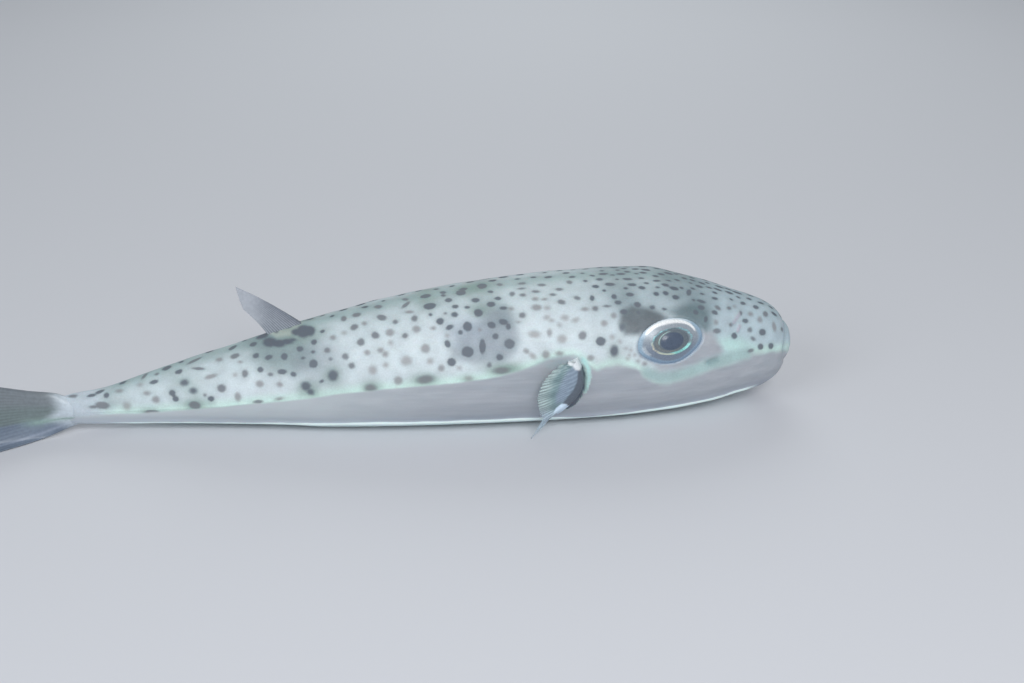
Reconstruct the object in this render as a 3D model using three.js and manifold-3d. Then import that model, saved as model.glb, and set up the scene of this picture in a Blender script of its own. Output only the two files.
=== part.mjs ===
// Silver-cheeked pufferfish resting on its belly, life size, in millimetres.
// +X points out of the snout, +Y to the fish's left, +Z up. The origin lies on the floor, on the
// midline, in the flat patch of belly that carries the fish.
import * as THREE from "three";
import { mergeVertices } from "three/addons/utils/BufferGeometryUtils.js";
import Module from "manifold-3d";

const wasm = await Module();
wasm.setup();

// ---------------------------------------------------------------- driving dimensions
const GAP = 0.3; // clearance left between pieces that meet
const SNOUT_X = 191.4; // front of the head, behind the lips
const STALK_X = -190; // end of the fleshy tail stalk
const MOUTH_Z = 31.5; // height of the gape
const NOSE_LENGTH = 23; // length over which the snout rounds off
const NOSE_POWER = 2.7; // bluntness of that rounding
const NECK_X = 90; // joint between head and trunk
const STALK_JOINT_X = -100; // joint between trunk and tail stalk
const BODY_RINGS = 46; // cross-sections along the body
const BACK_STEPS = 9; // points of a cross-section from the widest level up to the back

// Body stations: height of the back and of the belly line, half-width, height of the widest
// point, and the superellipse powers of the upper and the lower half of the section.
const STATIONS = [
  { x: 191.4, top: 53.2, belly: 7.5, half: 20, mid: 31, upper: 2.1, lower: 2.2 },
  { x: 180, top: 54.8, belly: 7.6, half: 21.5, mid: 31, upper: 2.15, lower: 2.25 },
  { x: 165, top: 59.2, belly: 5.4, half: 25, mid: 31.5, upper: 2.2, lower: 2.35 },
  { x: 145, top: 66.2, belly: 1.8, half: 30, mid: 33, upper: 2.3, lower: 2.5 },
  { x: 120, top: 72.3, belly: -0.3, half: 34.8, mid: 35, upper: 2.35, lower: 2.6 },
  { x: 90, top: 73.9, belly: -1.6, half: 37.4, mid: 36, upper: 2.2, lower: 2.6 },
  { x: 40, top: 71.4, belly: -2.2, half: 37.6, mid: 34, upper: 2.1, lower: 2.45 },
  { x: -10, top: 65, belly: -2.2, half: 34.2, mid: 30.5, upper: 2.05, lower: 2.35 },
  { x: -56, top: 55.2, belly: -1.2, half: 27.5, mid: 26, upper: 2, lower: 2.35 },
  { x: -76, top: 49.6, belly: 1, half: 23.6, mid: 23.4, upper: 2, lower: 2.35 },
  { x: -100, top: 42.6, belly: 2.3, half: 18.8, mid: 20.4, upper: 2, lower: 2.35 },
  { x: -130, top: 34.2, belly: 3.5, half: 13.2, mid: 17, upper: 2, lower: 2.35 },
  { x: -165, top: 23.8, belly: 4.8, half: 8, mid: 13.8, upper: 2, lower: 2.25 },
  { x: -190, top: 20.8, belly: 5.8, half: 5, mid: 13.3, upper: 2, lower: 2.1 },
];
// The stalk swings to the fish's right towards its end.
const BEND = { from: -120, length: 70, out: 3 };

// The skin fold that runs along each lower side: its height over the floor, which rises towards
// the chin and sinks towards the tail, how far it stands out, and where it dies away.
const FOLD = {
  height: 7.8,
  levelX: 105, // from here forwards it rises
  chinX: 172,
  chinHeight: 13,
  out: 1.6,
  width: 2,
  endX: 178,
  endLength: 14,
  keelReach: 6, // it flattens out this near the midline
};
const FOLD_REAR = { height: 6, from: -20, to: -110 };

// Eyes: oval lenses set in sockets, long axis tilted up towards the snout.
const EYE = { x: 122.2, z: 49.5, length: 36.2, width: 23.8, sunk: 3.4, bulge: 1.5, tilt: 7 };

// Lips and beak: rings bent round the snout, open at the corners of the mouth.
const LIPS = {
  upper: { way: 1, radius: 4.4, front: 193.4, rise: 5.1 },
  lower: { way: -1, radius: 3.5, front: 192.2, rise: 4.2 },
  cornerRadius: 1.5,
  thinning: 0.82, // how fast they thin towards the corners
  cornerRise: 0.35, // share of the rise that is left at the corners
  reach: 11.5,
  back: 7,
};
const BEAK = { front: 190.6, depth: 5, reach: 8.2, turn: 80, gape: 0.4, height: 4 };
const MOUTH_ROOM = 3; // how far the pocket for the beak is open in front of it

// Nostrils: raised oval papillae.
const NOSTRIL = { x: 157, z: 51.5, length: 6, width: 3.2, sunk: 0.8, bulge: 1.2, tilt: -35 };

// Pectoral fin of the right side; the left one is its mirror image.
const PECTORAL = {
  rootTop: [72.5, -36.6, 44.5],
  rootBottom: [66, -33, 15],
  rootSwell: 6.8, // how far the middle of the root curves forwards
  sink: 4, // how deep the root reaches under the skin
  proud: 2.6, // how far the base stands out before the rays turn back
  lean: 1.5,
  bulge: 2.5, // outward bow of the rays
  baseThick: 4.4,
  edgeThick: 0.7,
  // margin of the fan from its top ray to its lowest ray, which touches the floor
  margin: [
    [65, -41.5, 44.5],
    [59, -44, 41],
    [55, -46, 36],
    [52.6, -46.5, 29],
    [52, -45.5, 21],
    [52, -42.5, 12],
    [50.5, -38, 0.5],
  ],
};
// Dorsal fin: root along the back, and its raked, pointed blade.
const DORSAL = {
  front: -60.5,
  rear: -83,
  sink: 3,
  tip: [-95, 2, 75.5],
  heel: [-92, 1, 52.5],
  base: 2.6,
  edge: 0.6,
};
// Anal fin: folded back and out to the fish's left, flat on the floor.
const ANAL = {
  front: -80,
  rear: -95,
  height: 1.15,
  tip: [-118, 24, 0.45],
  heel: [-109, 9, 0.45],
  base: 1.5,
  edge: 0.9,
};
// Caudal fin: a fan of rays whose lower lobe bends out over the floor.
const CAUDAL = {
  rootX: -186.5,
  rootTop: 20.4,
  rootBottom: 6.8,
  upAngle: 17, // degrees above the stalk's line for the top ray
  downAngle: -33,
  lobe: 63, // length of the longest rays
  middle: 51, // length of the middle rays
  swing: 14, // turn of the fan towards the fish's right
  swingOver: 0.35, // share of the rays over which it turns
  base: 6,
  edge: 0.9,
  floor: 0.45, // height of the lying lobe's middle layer
  soft: 2.5, // how gently that lobe bends onto the floor
};

// Finishes: colour, roughness and metalness.
const SKIN = { color: 0xc3cfd4, roughness: 0.55, metalness: 0 };
const SKIN_SILVER = { color: 0x9fa9b2, roughness: 0.4, metalness: 0.35 };
const NOSTRIL_SKIN = { color: 0xb9a6a4, roughness: 0.6, metalness: 0 };
const EYE_GLOSS = { color: 0x2a3138, roughness: 0.08, metalness: 0 };
const FIN = { color: 0x6f7d86, roughness: 0.45, metalness: 0 };
const FIN_DARK = { color: 0x4d5f66, roughness: 0.3, metalness: 0 };
const BONE = { color: 0xe9e3d2, roughness: 0.3, metalness: 0 };

// ---------------------------------------------------------------- small helpers
const lerp = THREE.MathUtils.lerp;
const clamp = THREE.MathUtils.clamp;
const radians = THREE.MathUtils.degToRad;
const smooth = (t) => t * t * (3 - 2 * t);
const vec = (a) => new THREE.Vector3(...a);

// Smooth curve through the stations' values of one key (cubic Hermite, slopes from neighbours).
function profile(key, x) {
  const s = STATIONS;
  let i = 0;
  while (i < s.length - 2 && x < s[i + 1].x) i++;
  const slope = (k) => {
    const a = s[Math.max(0, k - 1)];
    const b = s[Math.min(s.length - 1, k + 1)];
    return (b[key] - a[key]) / (b.x - a.x);
  };
  const span = s[i + 1].x - s[i].x;
  const t = clamp((x - s[i].x) / span, 0, 1);
  const t2 = t * t;
  const t3 = t2 * t;
  return (
    (2 * t3 - 3 * t2 + 1) * s[i][key] +
    (t3 - 2 * t2 + t) * span * slope(i) +
    (3 * t2 - 2 * t3) * s[i + 1][key] +
    (t3 - t2) * span * slope(i + 1)
  );
}

// How open the section is: 1 along the body, closing to 0 at the front of the snout.
function openness(x) {
  const t = clamp((x - (SNOUT_X - NOSE_LENGTH)) / NOSE_LENGTH, 0, 1);
  return Math.pow(1 - Math.pow(t, NOSE_POWER), 1 / NOSE_POWER);
}

function foldHeight(x) {
  const t = clamp((x - FOLD.levelX) / (FOLD.chinX - FOLD.levelX), 0, 1);
  const rear = smooth(clamp((FOLD_REAR.from - x) / (FOLD_REAR.from - FOLD_REAR.to), 0, 1));
  return lerp(FOLD.height, FOLD.chinHeight, t * t) + rear * (FOLD_REAR.height - FOLD.height);
}

function bend(x) {
  const t = Math.max(0, (BEND.from - x) / BEND.length);
  return -BEND.out * t * t;
}

// The section's levels at x: back, belly line, widest level, half-width and the two powers.
function section(x) {
  const open = openness(x);
  const level = (key) => MOUTH_Z + (profile(key, x) - MOUTH_Z) * open;
  return {
    top: level("top"),
    belly: level("belly"),
    mid: level("mid"),
    half: profile("half", x) * open,
    upper: profile("upper", x),
    lower: profile("lower", x),
  };
}

// A point of the skin. angle runs from 90 degrees at the back to -90 at the belly line, side is
// -1 right or 1 left, and grow moves the surface outwards. The belly is flat on the floor.
function skin(x, angle, side, grow = 0) {
  const s = section(x);
  const up = angle >= 0;
  const power = 2 / (up ? s.upper : s.lower);
  const reach = (up ? s.top - s.mid : s.mid - s.belly) + grow;
  let y = (s.half + grow) * Math.pow(Math.abs(Math.cos(angle)), power);
  let z = s.mid + Math.sign(angle) * reach * Math.pow(Math.abs(Math.sin(angle)), power);
  const away = (z - foldHeight(x)) / FOLD.width;
  const fade = smooth(clamp((FOLD.endX - x) / FOLD.endLength, 0, 1)) * clamp(y / FOLD.keelReach, 0, 1);
  y += up ? 0 : FOLD.out * fade * Math.exp(-away * away);
  z = Math.max(z, -grow);
  return new THREE.Vector3(x, side * y + bend(x), z);
}

// The angles of a cross-section's points, from the back down to the belly line. They crowd round
// the skin fold and mark the edge of the flat patch.
function ringAngles(x) {
  const s = section(x);
  const angles = [];
  for (let i = 0; i < BACK_STEPS; i++) angles.push(radians(90 * (1 - i / BACK_STEPS)));
  angles.push(0);
  const low = Math.max(s.belly, 0) + 0.02;
  const fold = Math.max(foldHeight(x), low + 2);
  const rim = fold + 1.5 * FOLD.width;
  const levels = [lerp(s.mid, rim, 0.35), lerp(s.mid, rim, 0.7), rim, fold + 0.6 * FOLD.width, fold];
  levels.push(fold - 0.6 * FOLD.width, lerp(fold - 0.6 * FOLD.width, low, 0.5), low);
  for (const z of levels) {
    const share = clamp((s.mid - z) / (s.mid - s.belly), 0, 1);
    angles.push(-Math.asin(Math.pow(share, s.lower / 2)));
  }
  angles.push(lerp(angles[angles.length - 1], radians(-90), 0.5), radians(-90));
  return angles;
}

// The skin point nearest to height z on the side, and the way it faces.
function skinAt(x, z, side) {
  let low = radians(-90);
  let high = radians(90);
  for (let i = 0; i < 40; i++) {
    const at = (low + high) / 2;
    if (skin(x, at, side).z < z) low = at;
    else high = at;
  }
  const point = skin(x, low, side);
  const along = skin(x + 1, low, side).sub(skin(x - 1, low, side));
  const around = skin(x, low + 0.03, side).sub(skin(x, low - 0.03, side));
  const normal = along.cross(around).normalize();
  if (normal.y * side < 0) normal.negate();
  return { point, normal };
}

// ---------------------------------------------------------------- solids
function solid(positions, faces) {
  const geometry = new THREE.BufferGeometry();
  geometry.setAttribute("position", new THREE.Float32BufferAttribute(positions, 3));
  geometry.setIndex(faces);
  const merged = mergeVertices(geometry, 1e-4);
  const vertProperties = merged.attributes.position.array;
  const triVerts = new Uint32Array(merged.index.array);
  const made = new wasm.Manifold(new wasm.Mesh({ numProp: 3, vertProperties, triVerts }));
  if (made.volume() > 0) return made;
  for (let i = 0; i < triVerts.length; i += 3) {
    [triVerts[i], triVerts[i + 1]] = [triVerts[i + 1], triVerts[i]];
  }
  return new wasm.Manifold(new wasm.Mesh({ numProp: 3, vertProperties, triVerts }));
}

// A closed skin over rings of equal length, with a fan over each end.
function loft(rings) {
  const n = rings[0].length;
  const points = rings.flatMap((ring) => ring.flatMap((p) => p.toArray()));
  const faces = [];
  for (let r = 0; r + 1 < rings.length; r++) {
    for (let i = 0; i < n; i++) {
      const a = r * n + i;
      const b = r * n + ((i + 1) % n);
      faces.push(a, b, b + n, a, b + n, a + n);
    }
  }
  for (const r of [0, rings.length - 1]) {
    const middle = new THREE.Vector3();
    rings[r].forEach((p) => middle.addScaledVector(p, 1 / n));
    const m = points.length / 3;
    points.push(...middle.toArray());
    for (let i = 0; i < n; i++) {
      const a = r * n + i;
      const b = r * n + ((i + 1) % n);
      faces.push(...(r === 0 ? [m, b, a] : [m, a, b]));
    }
  }
  return solid(points, faces);
}

// A blade over a grid of middle-layer points: rays[v][u] runs from the root to the margin of ray
// v, and thick(u) is the thickness there.
function blade(rays, thick) {
  const rows = rays.length;
  const cols = rays[0].length;
  const normals = rays.map((ray, v) =>
    ray.map((p, u) => {
      const along = rays[v][Math.min(u + 1, cols - 1)].clone().sub(rays[v][Math.max(u - 1, 0)]);
      const across = rays[Math.min(v + 1, rows - 1)][u].clone().sub(rays[Math.max(v - 1, 0)][u]);
      return along.cross(across).normalize();
    }),
  );
  const points = [];
  for (const way of [0.5, -0.5]) {
    rays.forEach((ray, v) =>
      ray.forEach((p, u) => {
        const q = p.clone().addScaledVector(normals[v][u], way * thick(u / (cols - 1)));
        points.push(...q.toArray());
      }),
    );
  }
  const at = (s, v, u) => s * rows * cols + v * cols + u;
  const faces = [];
  const quad = (a, b, c, d) => faces.push(a, b, c, a, c, d);
  for (let v = 0; v + 1 < rows; v++) {
    for (let u = 0; u + 1 < cols; u++) {
      quad(at(0, v, u), at(0, v, u + 1), at(0, v + 1, u + 1), at(0, v + 1, u));
      quad(at(1, v, u), at(1, v + 1, u), at(1, v + 1, u + 1), at(1, v, u + 1));
    }
  }
  for (let u = 0; u + 1 < cols; u++) {
    quad(at(0, 0, u), at(1, 0, u), at(1, 0, u + 1), at(0, 0, u + 1));
    quad(at(0, rows - 1, u), at(0, rows - 1, u + 1), at(1, rows - 1, u + 1), at(1, rows - 1, u));
  }
  for (let v = 0; v + 1 < rows; v++) {
    quad(at(0, v, 0), at(0, v + 1, 0), at(1, v + 1, 0), at(1, v, 0));
    quad(at(0, v, cols - 1), at(1, v, cols - 1), at(1, v + 1, cols - 1), at(0, v + 1, cols - 1));
  }
  return solid(points, faces);
}

const mirrored = (piece) => piece.mirror([0, 1, 0]);

// ---------------------------------------------------------------- flesh
// The whole body from the snout to the end of the tail stalk.
function fleshSolid(grow) {
  const rings = [];
  for (let r = 0; r <= BODY_RINGS; r++) {
    // Rings crowd together where the snout rounds off.
    const t = Math.pow(r / BODY_RINGS, 1.5);
    const x = lerp(SNOUT_X - 0.02, STALK_X, t);
    const shift = grow * (r === 0 ? 1 : r === BODY_RINGS ? -1 : 0);
    const angles = ringAngles(x);
    const way = vec([shift, 0, 0]);
    const right = angles.map((angle) => skin(x, angle, -1, grow).add(way));
    const left = angles.slice(1, -1).map((angle) => skin(x, angle, 1, grow).add(way));
    const ring = [...right, ...left.reverse()];
    rings.push(ring);
  }
  return loft(rings);
}

// The slice of a solid between two positions along the body.
function slice(piece, from, to) {
  const span = 500;
  const box = wasm.Manifold.cube([to - from, span, span], true);
  return piece.intersect(box.translate([(from + to) / 2, 0, 0]));
}

// ---------------------------------------------------------------- eyes and nostrils
// An oval lens lying in the skin: its long axis tilts up by size.tilt degrees, its centre is sunk
// under the skin point and its crown stands proud of it.
function ovalSolid(point, normal, size, grow, across, along) {
  const ball = new THREE.SphereGeometry(1, across, along).rotateX(Math.PI / 2);
  const deep = size.sunk + size.bulge;
  ball.scale(size.length / 2 + grow, size.width / 2 + grow, deep + grow);
  const tilt = radians(size.tilt);
  const long = new THREE.Vector3(Math.cos(tilt), 0, Math.sin(tilt));
  long.addScaledVector(normal, -long.dot(normal)).normalize();
  const high = new THREE.Vector3().crossVectors(normal, long);
  const centre = point.clone().addScaledVector(normal, -size.sunk);
  ball.applyMatrix4(new THREE.Matrix4().makeBasis(long, high, normal).setPosition(centre));
  return solid(Array.from(ball.attributes.position.array), Array.from(ball.index.array));
}

function eyeSolid(side, grow) {
  const { point, normal } = skinAt(EYE.x, EYE.z, side);
  return ovalSolid(point, normal, EYE, grow, 20, 10);
}

function nostrilSolid(side) {
  const { point, normal } = skinAt(NOSTRIL.x, NOSTRIL.z, side);
  return ovalSolid(point, normal, NOSTRIL, 0, 12, 8);
}

// ---------------------------------------------------------------- mouth
// A rod bent round the front of the snout, thinner towards the corners of the mouth.
function lipSolid(lip, grow) {
  const steps = 14;
  const facets = 12;
  const rings = [];
  for (let i = 0; i <= steps; i++) {
    const turn = lerp(-1, 1, i / steps); // from the right corner to the left corner
    const fat = Math.sqrt(1 - LIPS.thinning * turn * turn);
    const radius = Math.max(LIPS.cornerRadius, lip.radius * fat) + grow;
    const a = turn * radians(90);
    const rise = lip.rise * lerp(LIPS.cornerRise, 1, Math.sqrt(Math.max(0, Math.cos(a))));
    const heart = vec([
      lip.front - lip.radius - LIPS.back * (1 - Math.cos(a)),
      LIPS.reach * Math.sin(a),
      MOUTH_Z + lip.way * rise,
    ]);
    const outward = vec([Math.cos(a), Math.sin(a), 0]);
    const ring = [];
    for (let k = 0; k < facets; k++) {
      const b = (k / facets) * 2 * Math.PI;
      const p = heart.clone().addScaledVector(outward, radius * Math.cos(b));
      ring.push(p.add(vec([0, 0, radius * Math.sin(b)])));
    }
    rings.push(ring);
  }
  return loft(rings);
}

// A curved plate between two heights over the gape: a beak plate, or the pocket around both, which
// is wider by grow and opens forwards by room.
function beakSolid(low, high, grow = 0, room = 0) {
  const steps = 10;
  const rings = [];
  for (let i = 0; i <= steps; i++) {
    const turn = lerp(-1, 1, i / steps) * (1 + grow / BEAK.reach);
    const a = turn * radians(BEAK.turn);
    const heart = vec([BEAK.front - LIPS.back * (1 - Math.cos(a)), BEAK.reach * Math.sin(a), 0]);
    const outward = vec([Math.cos(a), Math.sin(a), 0]);
    const front = heart.clone().addScaledVector(outward, room);
    const rear = heart.clone().addScaledVector(outward, -BEAK.depth - grow);
    const corner = (p, z) => p.clone().setZ(MOUTH_Z + z);
    rings.push([corner(front, low), corner(front, high), corner(rear, high), corner(rear, low)]);
  }
  return loft(rings);
}

// ---------------------------------------------------------------- fins
function pectoralSolid() {
  const rows = 12;
  const cols = 6;
  const curve = new THREE.CatmullRomCurve3(PECTORAL.margin.map(vec));
  const rays = [];
  for (let v = 0; v <= rows; v++) {
    const t = v / rows;
    const root = vec(PECTORAL.rootTop).lerp(vec(PECTORAL.rootBottom), t);
    root.x += PECTORAL.rootSwell * Math.sin(Math.PI * t);
    const hide = skinAt(root.x, root.z, -1);
    const start = hide.point.clone().addScaledVector(hide.normal, -PECTORAL.sink);
    const proud = hide.point.clone().addScaledVector(hide.normal, PECTORAL.proud);
    proud.x -= PECTORAL.lean;
    const end = curve.getPoint(t);
    const ray = [start];
    for (let u = 0; u < cols; u++) {
      const s = u / (cols - 1);
      const bow = Math.sin(Math.PI * s) * PECTORAL.bulge;
      ray.push(proud.clone().lerp(end, s).add(vec([0, -bow, 0])));
    }
    rays.push(ray);
  }
  // Full thickness over the first tenth of the rays, then thinning over the next six tenths.
  const thinned = (u) => smooth(clamp((u - 0.1) / 0.6, 0, 1));
  return blade(rays, (u) => lerp(PECTORAL.baseThick, PECTORAL.edgeThick, thinned(u)));
}

// A pointed fin whose rays lean from a straight root towards its tip and its heel.
function sailRays(rootAt, tip, heel, rows, cols) {
  const rays = [];
  for (let v = 0; v <= rows; v++) {
    const t = v / rows;
    const root = rootAt(t);
    // The margin is hollow between the tip of the first ray and the heel of the last one.
    const end = tip.clone().lerp(heel, Math.pow(t, 0.6));
    const ray = [];
    for (let u = 0; u <= cols; u++) ray.push(root.clone().lerp(end, u / cols));
    rays.push(ray);
  }
  return rays;
}

function dorsalSolid() {
  const rootAt = (t) => {
    const x = lerp(DORSAL.front, DORSAL.rear, t);
    return vec([x, 0, skin(x, radians(90), 1).z - DORSAL.sink]);
  };
  const rays = sailRays(rootAt, vec(DORSAL.tip), vec(DORSAL.heel), 9, 6);
  return blade(rays, (u) => lerp(DORSAL.base, DORSAL.edge, smooth(clamp(u / 0.6, 0, 1))));
}

function analSolid() {
  const rootAt = (t) => vec([lerp(ANAL.front, ANAL.rear, t), 0, ANAL.height]);
  const rays = sailRays(rootAt, vec(ANAL.tip), vec(ANAL.heel), 7, 5);
  return blade(rays, (u) => lerp(ANAL.base, ANAL.edge, clamp(u / 0.5, 0, 1)));
}

// The caudal fan. Rays that would dip under the floor lie out over it instead.
function caudalPoint(u, v) {
  const rootZ = lerp(CAUDAL.rootTop, CAUDAL.rootBottom, v);
  const angle = radians(lerp(CAUDAL.upAngle, CAUDAL.downAngle, v));
  const far = Math.abs(2 * v - 1);
  const length = lerp(CAUDAL.middle, CAUDAL.lobe, far * far) * u;
  const back = length * Math.cos(angle);
  const flat = rootZ + length * Math.sin(angle);
  const over = flat - CAUDAL.floor;
  const round = CAUDAL.soft ** 2;
  const eased = (over + Math.sqrt(over * over + round)) / 2 - round / (8 * CAUDAL.soft + 4 * Math.abs(over));
  const z = CAUDAL.floor + eased;
  const swing = radians(CAUDAL.swing) * smooth(clamp(u / CAUDAL.swingOver, 0, 1));
  const out = Math.max(0, z - flat);
  return new THREE.Vector3(
    CAUDAL.rootX - back * Math.cos(swing),
    bend(STALK_X) - back * Math.sin(swing) - out,
    Math.max(z, CAUDAL.floor),
  );
}

function caudalSolid() {
  const rows = 16;
  const cols = 7;
  const rays = [];
  for (let v = 0; v <= rows; v++) {
    const ray = [];
    for (let u = 0; u <= cols; u++) ray.push(caudalPoint(u / cols, v / rows));
    rays.push(ray);
  }
  return blade(rays, (u) => lerp(CAUDAL.base, CAUDAL.edge, smooth(clamp(u / 0.4, 0, 1))));
}

// ---------------------------------------------------------------- assembly
const ROOM = [800, 400, 100]; // larger than the fish
const floorCut = wasm.Manifold.cube(ROOM, true).translate([0, 0, ROOM[2] / 2]); // keeps z >= 0
const flesh = fleshSolid(0);
const around = fleshSolid(GAP); // the flesh with its clearance

const lipRoom = wasm.Manifold.union(lipSolid(LIPS.upper, GAP), lipSolid(LIPS.lower, GAP));
const mouthRoom = beakSolid(-BEAK.height - GAP, BEAK.height + GAP, GAP, MOUTH_ROOM);
const beaks = {
  upper: beakSolid(BEAK.gape / 2, BEAK.height),
  lower: beakSolid(-BEAK.height, -BEAK.gape / 2),
};

const sockets = wasm.Manifold.union(eyeSolid(-1, GAP), eyeSolid(1, GAP));
const head = slice(flesh, NECK_X + GAP / 2, SNOUT_X + 10).subtract(sockets).subtract(mouthRoom);
const trunk = slice(flesh, STALK_JOINT_X + GAP / 2, NECK_X - GAP / 2);
const stalk = slice(flesh, STALK_X - 10, STALK_JOINT_X - GAP / 2);

const pectoral = pectoralSolid().subtract(around).intersect(floorCut);

const pieces = [
  ["head", head, SKIN],
  ["trunk", trunk, SKIN],
  ["tail_stalk", stalk, SKIN],
  ["upper_lip", lipSolid(LIPS.upper, 0).subtract(around), SKIN],
  ["lower_lip", lipSolid(LIPS.lower, 0).subtract(around), SKIN_SILVER],
  ["beak_upper", beaks.upper.subtract(lipRoom), BONE],
  ["beak_lower", beaks.lower.subtract(lipRoom), BONE],
  ["eye_right", eyeSolid(-1, 0), EYE_GLOSS],
  ["eye_left", eyeSolid(1, 0), EYE_GLOSS],
  ["nostril_right", nostrilSolid(-1).subtract(around), NOSTRIL_SKIN],
  ["nostril_left", nostrilSolid(1).subtract(around), NOSTRIL_SKIN],
  ["pectoral_fin_right", pectoral, FIN_DARK],
  ["pectoral_fin_left", mirrored(pectoral), FIN_DARK],
  ["dorsal_fin", dorsalSolid().subtract(around), FIN],
  ["anal_fin", analSolid().subtract(around).intersect(floorCut), FIN],
  ["caudal_fin", caudalSolid().subtract(around).intersect(floorCut), FIN],
];

const group = new THREE.Group();
group.name = "pufferfish";
for (const [name, piece, finish] of pieces) {
  const mesh = piece.getMesh();
  const points = new Float32Array(mesh.numVert * 3);
  for (let i = 0; i < mesh.numVert; i++) {
    for (let k = 0; k < 3; k++) points[i * 3 + k] = mesh.vertProperties[i * mesh.numProp + k];
  }
  const geometry = new THREE.BufferGeometry();
  geometry.setAttribute("position", new THREE.BufferAttribute(points, 3));
  geometry.setIndex(new THREE.BufferAttribute(mesh.triVerts, 1));
  geometry.computeVertexNormals();
  const node = new THREE.Mesh(geometry, new THREE.MeshStandardMaterial(finish));
  node.name = name;
  group.add(node);
}

export default group;
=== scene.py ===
"""Silver-cheeked pufferfish resting on its belly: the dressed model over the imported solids.

Lengths are in millimetres in the part's frame (+X out of the snout, +Y to the fish's left, +Z up,
floor at z = 0) and become metres when a mesh is made. Places on the photographed right side are
given as (column, row) of the 1024 x 683 view and are laid onto the skin by the same camera.
Colours are 0-255 display values."""

import math
import bmesh
import bpy
import numpy as np
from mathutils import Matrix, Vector


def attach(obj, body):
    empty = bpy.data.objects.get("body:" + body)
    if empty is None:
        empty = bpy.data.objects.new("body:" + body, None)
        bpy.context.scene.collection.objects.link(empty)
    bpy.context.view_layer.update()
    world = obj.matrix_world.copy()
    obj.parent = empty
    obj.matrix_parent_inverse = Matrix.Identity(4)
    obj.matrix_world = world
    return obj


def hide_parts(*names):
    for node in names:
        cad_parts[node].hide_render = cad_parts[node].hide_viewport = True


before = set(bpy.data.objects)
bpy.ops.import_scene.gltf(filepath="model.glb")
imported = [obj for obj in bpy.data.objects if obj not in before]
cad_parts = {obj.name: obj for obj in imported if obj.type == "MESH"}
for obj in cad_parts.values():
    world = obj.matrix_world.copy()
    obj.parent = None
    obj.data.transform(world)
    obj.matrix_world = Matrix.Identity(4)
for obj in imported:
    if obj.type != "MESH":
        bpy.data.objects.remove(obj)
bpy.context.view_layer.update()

MM = 0.001
RNG = np.random.default_rng(20261123)

# ---------- the camera
VIEW_W, VIEW_H = 1024, 683
CAM_AZIMUTH = math.radians(-6.5)
CAM_ELEVATION = math.radians(26.0)
CAM_DISTANCE = 745.0
CAM_TARGET = np.array([45.0, 0.0, 38.0])
CAM_LENS, CAM_SENSOR = 50.0, 36.0
FOCAL_PX = VIEW_W * CAM_LENS / CAM_SENSOR

cam_level = math.cos(CAM_ELEVATION)
cam_back = np.array(
    [math.sin(CAM_AZIMUTH) * cam_level, -math.cos(CAM_AZIMUTH) * cam_level, math.sin(CAM_ELEVATION)]
)
cam_right = np.array([math.cos(CAM_AZIMUTH), math.sin(CAM_AZIMUTH), 0.0])
cam_up = np.cross(cam_back, cam_right)
cam_place = CAM_TARGET + cam_back * CAM_DISTANCE


def picture(points):
    """Column and row in the view of points in mm."""
    d = points - cam_place
    depth = -(d @ cam_back)
    return VIEW_W / 2 + FOCAL_PX * (d @ cam_right) / depth, VIEW_H / 2 - FOCAL_PX * (d @ cam_up) / depth


# ---------- small helpers
def smooth(t):
    """An S-curve from 0 at 0 to 1 at 1, flat outside."""
    t = np.clip(t, 0.0, 1.0)
    return t * t * (3 - 2 * t)


def rise(value, low, high):
    """Smooth step from 0 at low to 1 at high. It falls where high is the smaller."""
    return smooth((value - low) / (high - low))


def hill(value, middle, width, power=2):
    """1 at the middle and down to about a third at the width."""
    return np.exp(-(((value - middle) / width) ** power))


def ends(share, rate):
    """1 along a line, easing to 0 at its two ends."""
    return smooth(share * rate) * smooth((1 - share) * rate)


def wave(turns):
    """A cosine from 1 to 0 and back in each turn."""
    return 0.5 + 0.5 * np.cos(2 * math.pi * turns)


def lerp(a, b, t):
    return a + (b - a) * t


def unit(v):
    return v / np.maximum(np.linalg.norm(v, axis=-1, keepdims=True), 1e-9)


def smooth_curve(points, t):
    """Catmull-Rom curve through points, t from 0 to 1."""
    n = len(points) - 1
    padded = np.concatenate([[2 * points[0] - points[1]], points, [2 * points[-1] - points[-2]]])
    i = min(int(t * n), n - 1)
    f = t * n - i
    p0, p1, p2, p3 = padded[i : i + 4]
    bent = (2 * p0 - 5 * p1 + 4 * p2 - p3) * f**2 + (3 * p1 - p0 - 3 * p2 + p3) * f**3
    return 0.5 * (2 * p1 + (p2 - p0) * f + bent)


def near_line(col, row, line):
    """Distance in view pixels from a line of (column, row) points, and the share along it."""
    line = np.array(line, float)
    best = np.full(col.shape, 1e9)
    share = np.zeros(col.shape)
    for k, (a, b) in enumerate(zip(line[:-1], line[1:])):
        d = b - a
        t = np.clip(((col - a[0]) * d[0] + (row - a[1]) * d[1]) / (d @ d), 0, 1)
        away = np.hypot(col - a[0] - t * d[0], row - a[1] - t * d[1])
        share = np.where(away < best, (k + t) / (len(line) - 1), share)
        best = np.minimum(best, away)
    return best, share


def inside(col, row, corners):
    """Signed distance in view pixels from a closed outline, positive inside."""
    loop = [*corners, corners[0]]
    away, _ = near_line(col, row, loop)
    odd = np.zeros(col.shape, bool)
    for (x0, y0), (x1, y1) in zip(loop[:-1], loop[1:]):
        crosses = (y0 > row) != (y1 > row)
        odd ^= crosses & (col < (x1 - x0) * (row - y0) / ((y1 - y0) or 1e-9) + x0)
    return np.where(odd, away, -away)


def within(col, row, corners, width, bias=0.5):
    """1 inside an outline, easing to 0 over width view pixels at its edge."""
    return smooth(inside(col, row, corners) / width + bias)


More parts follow.
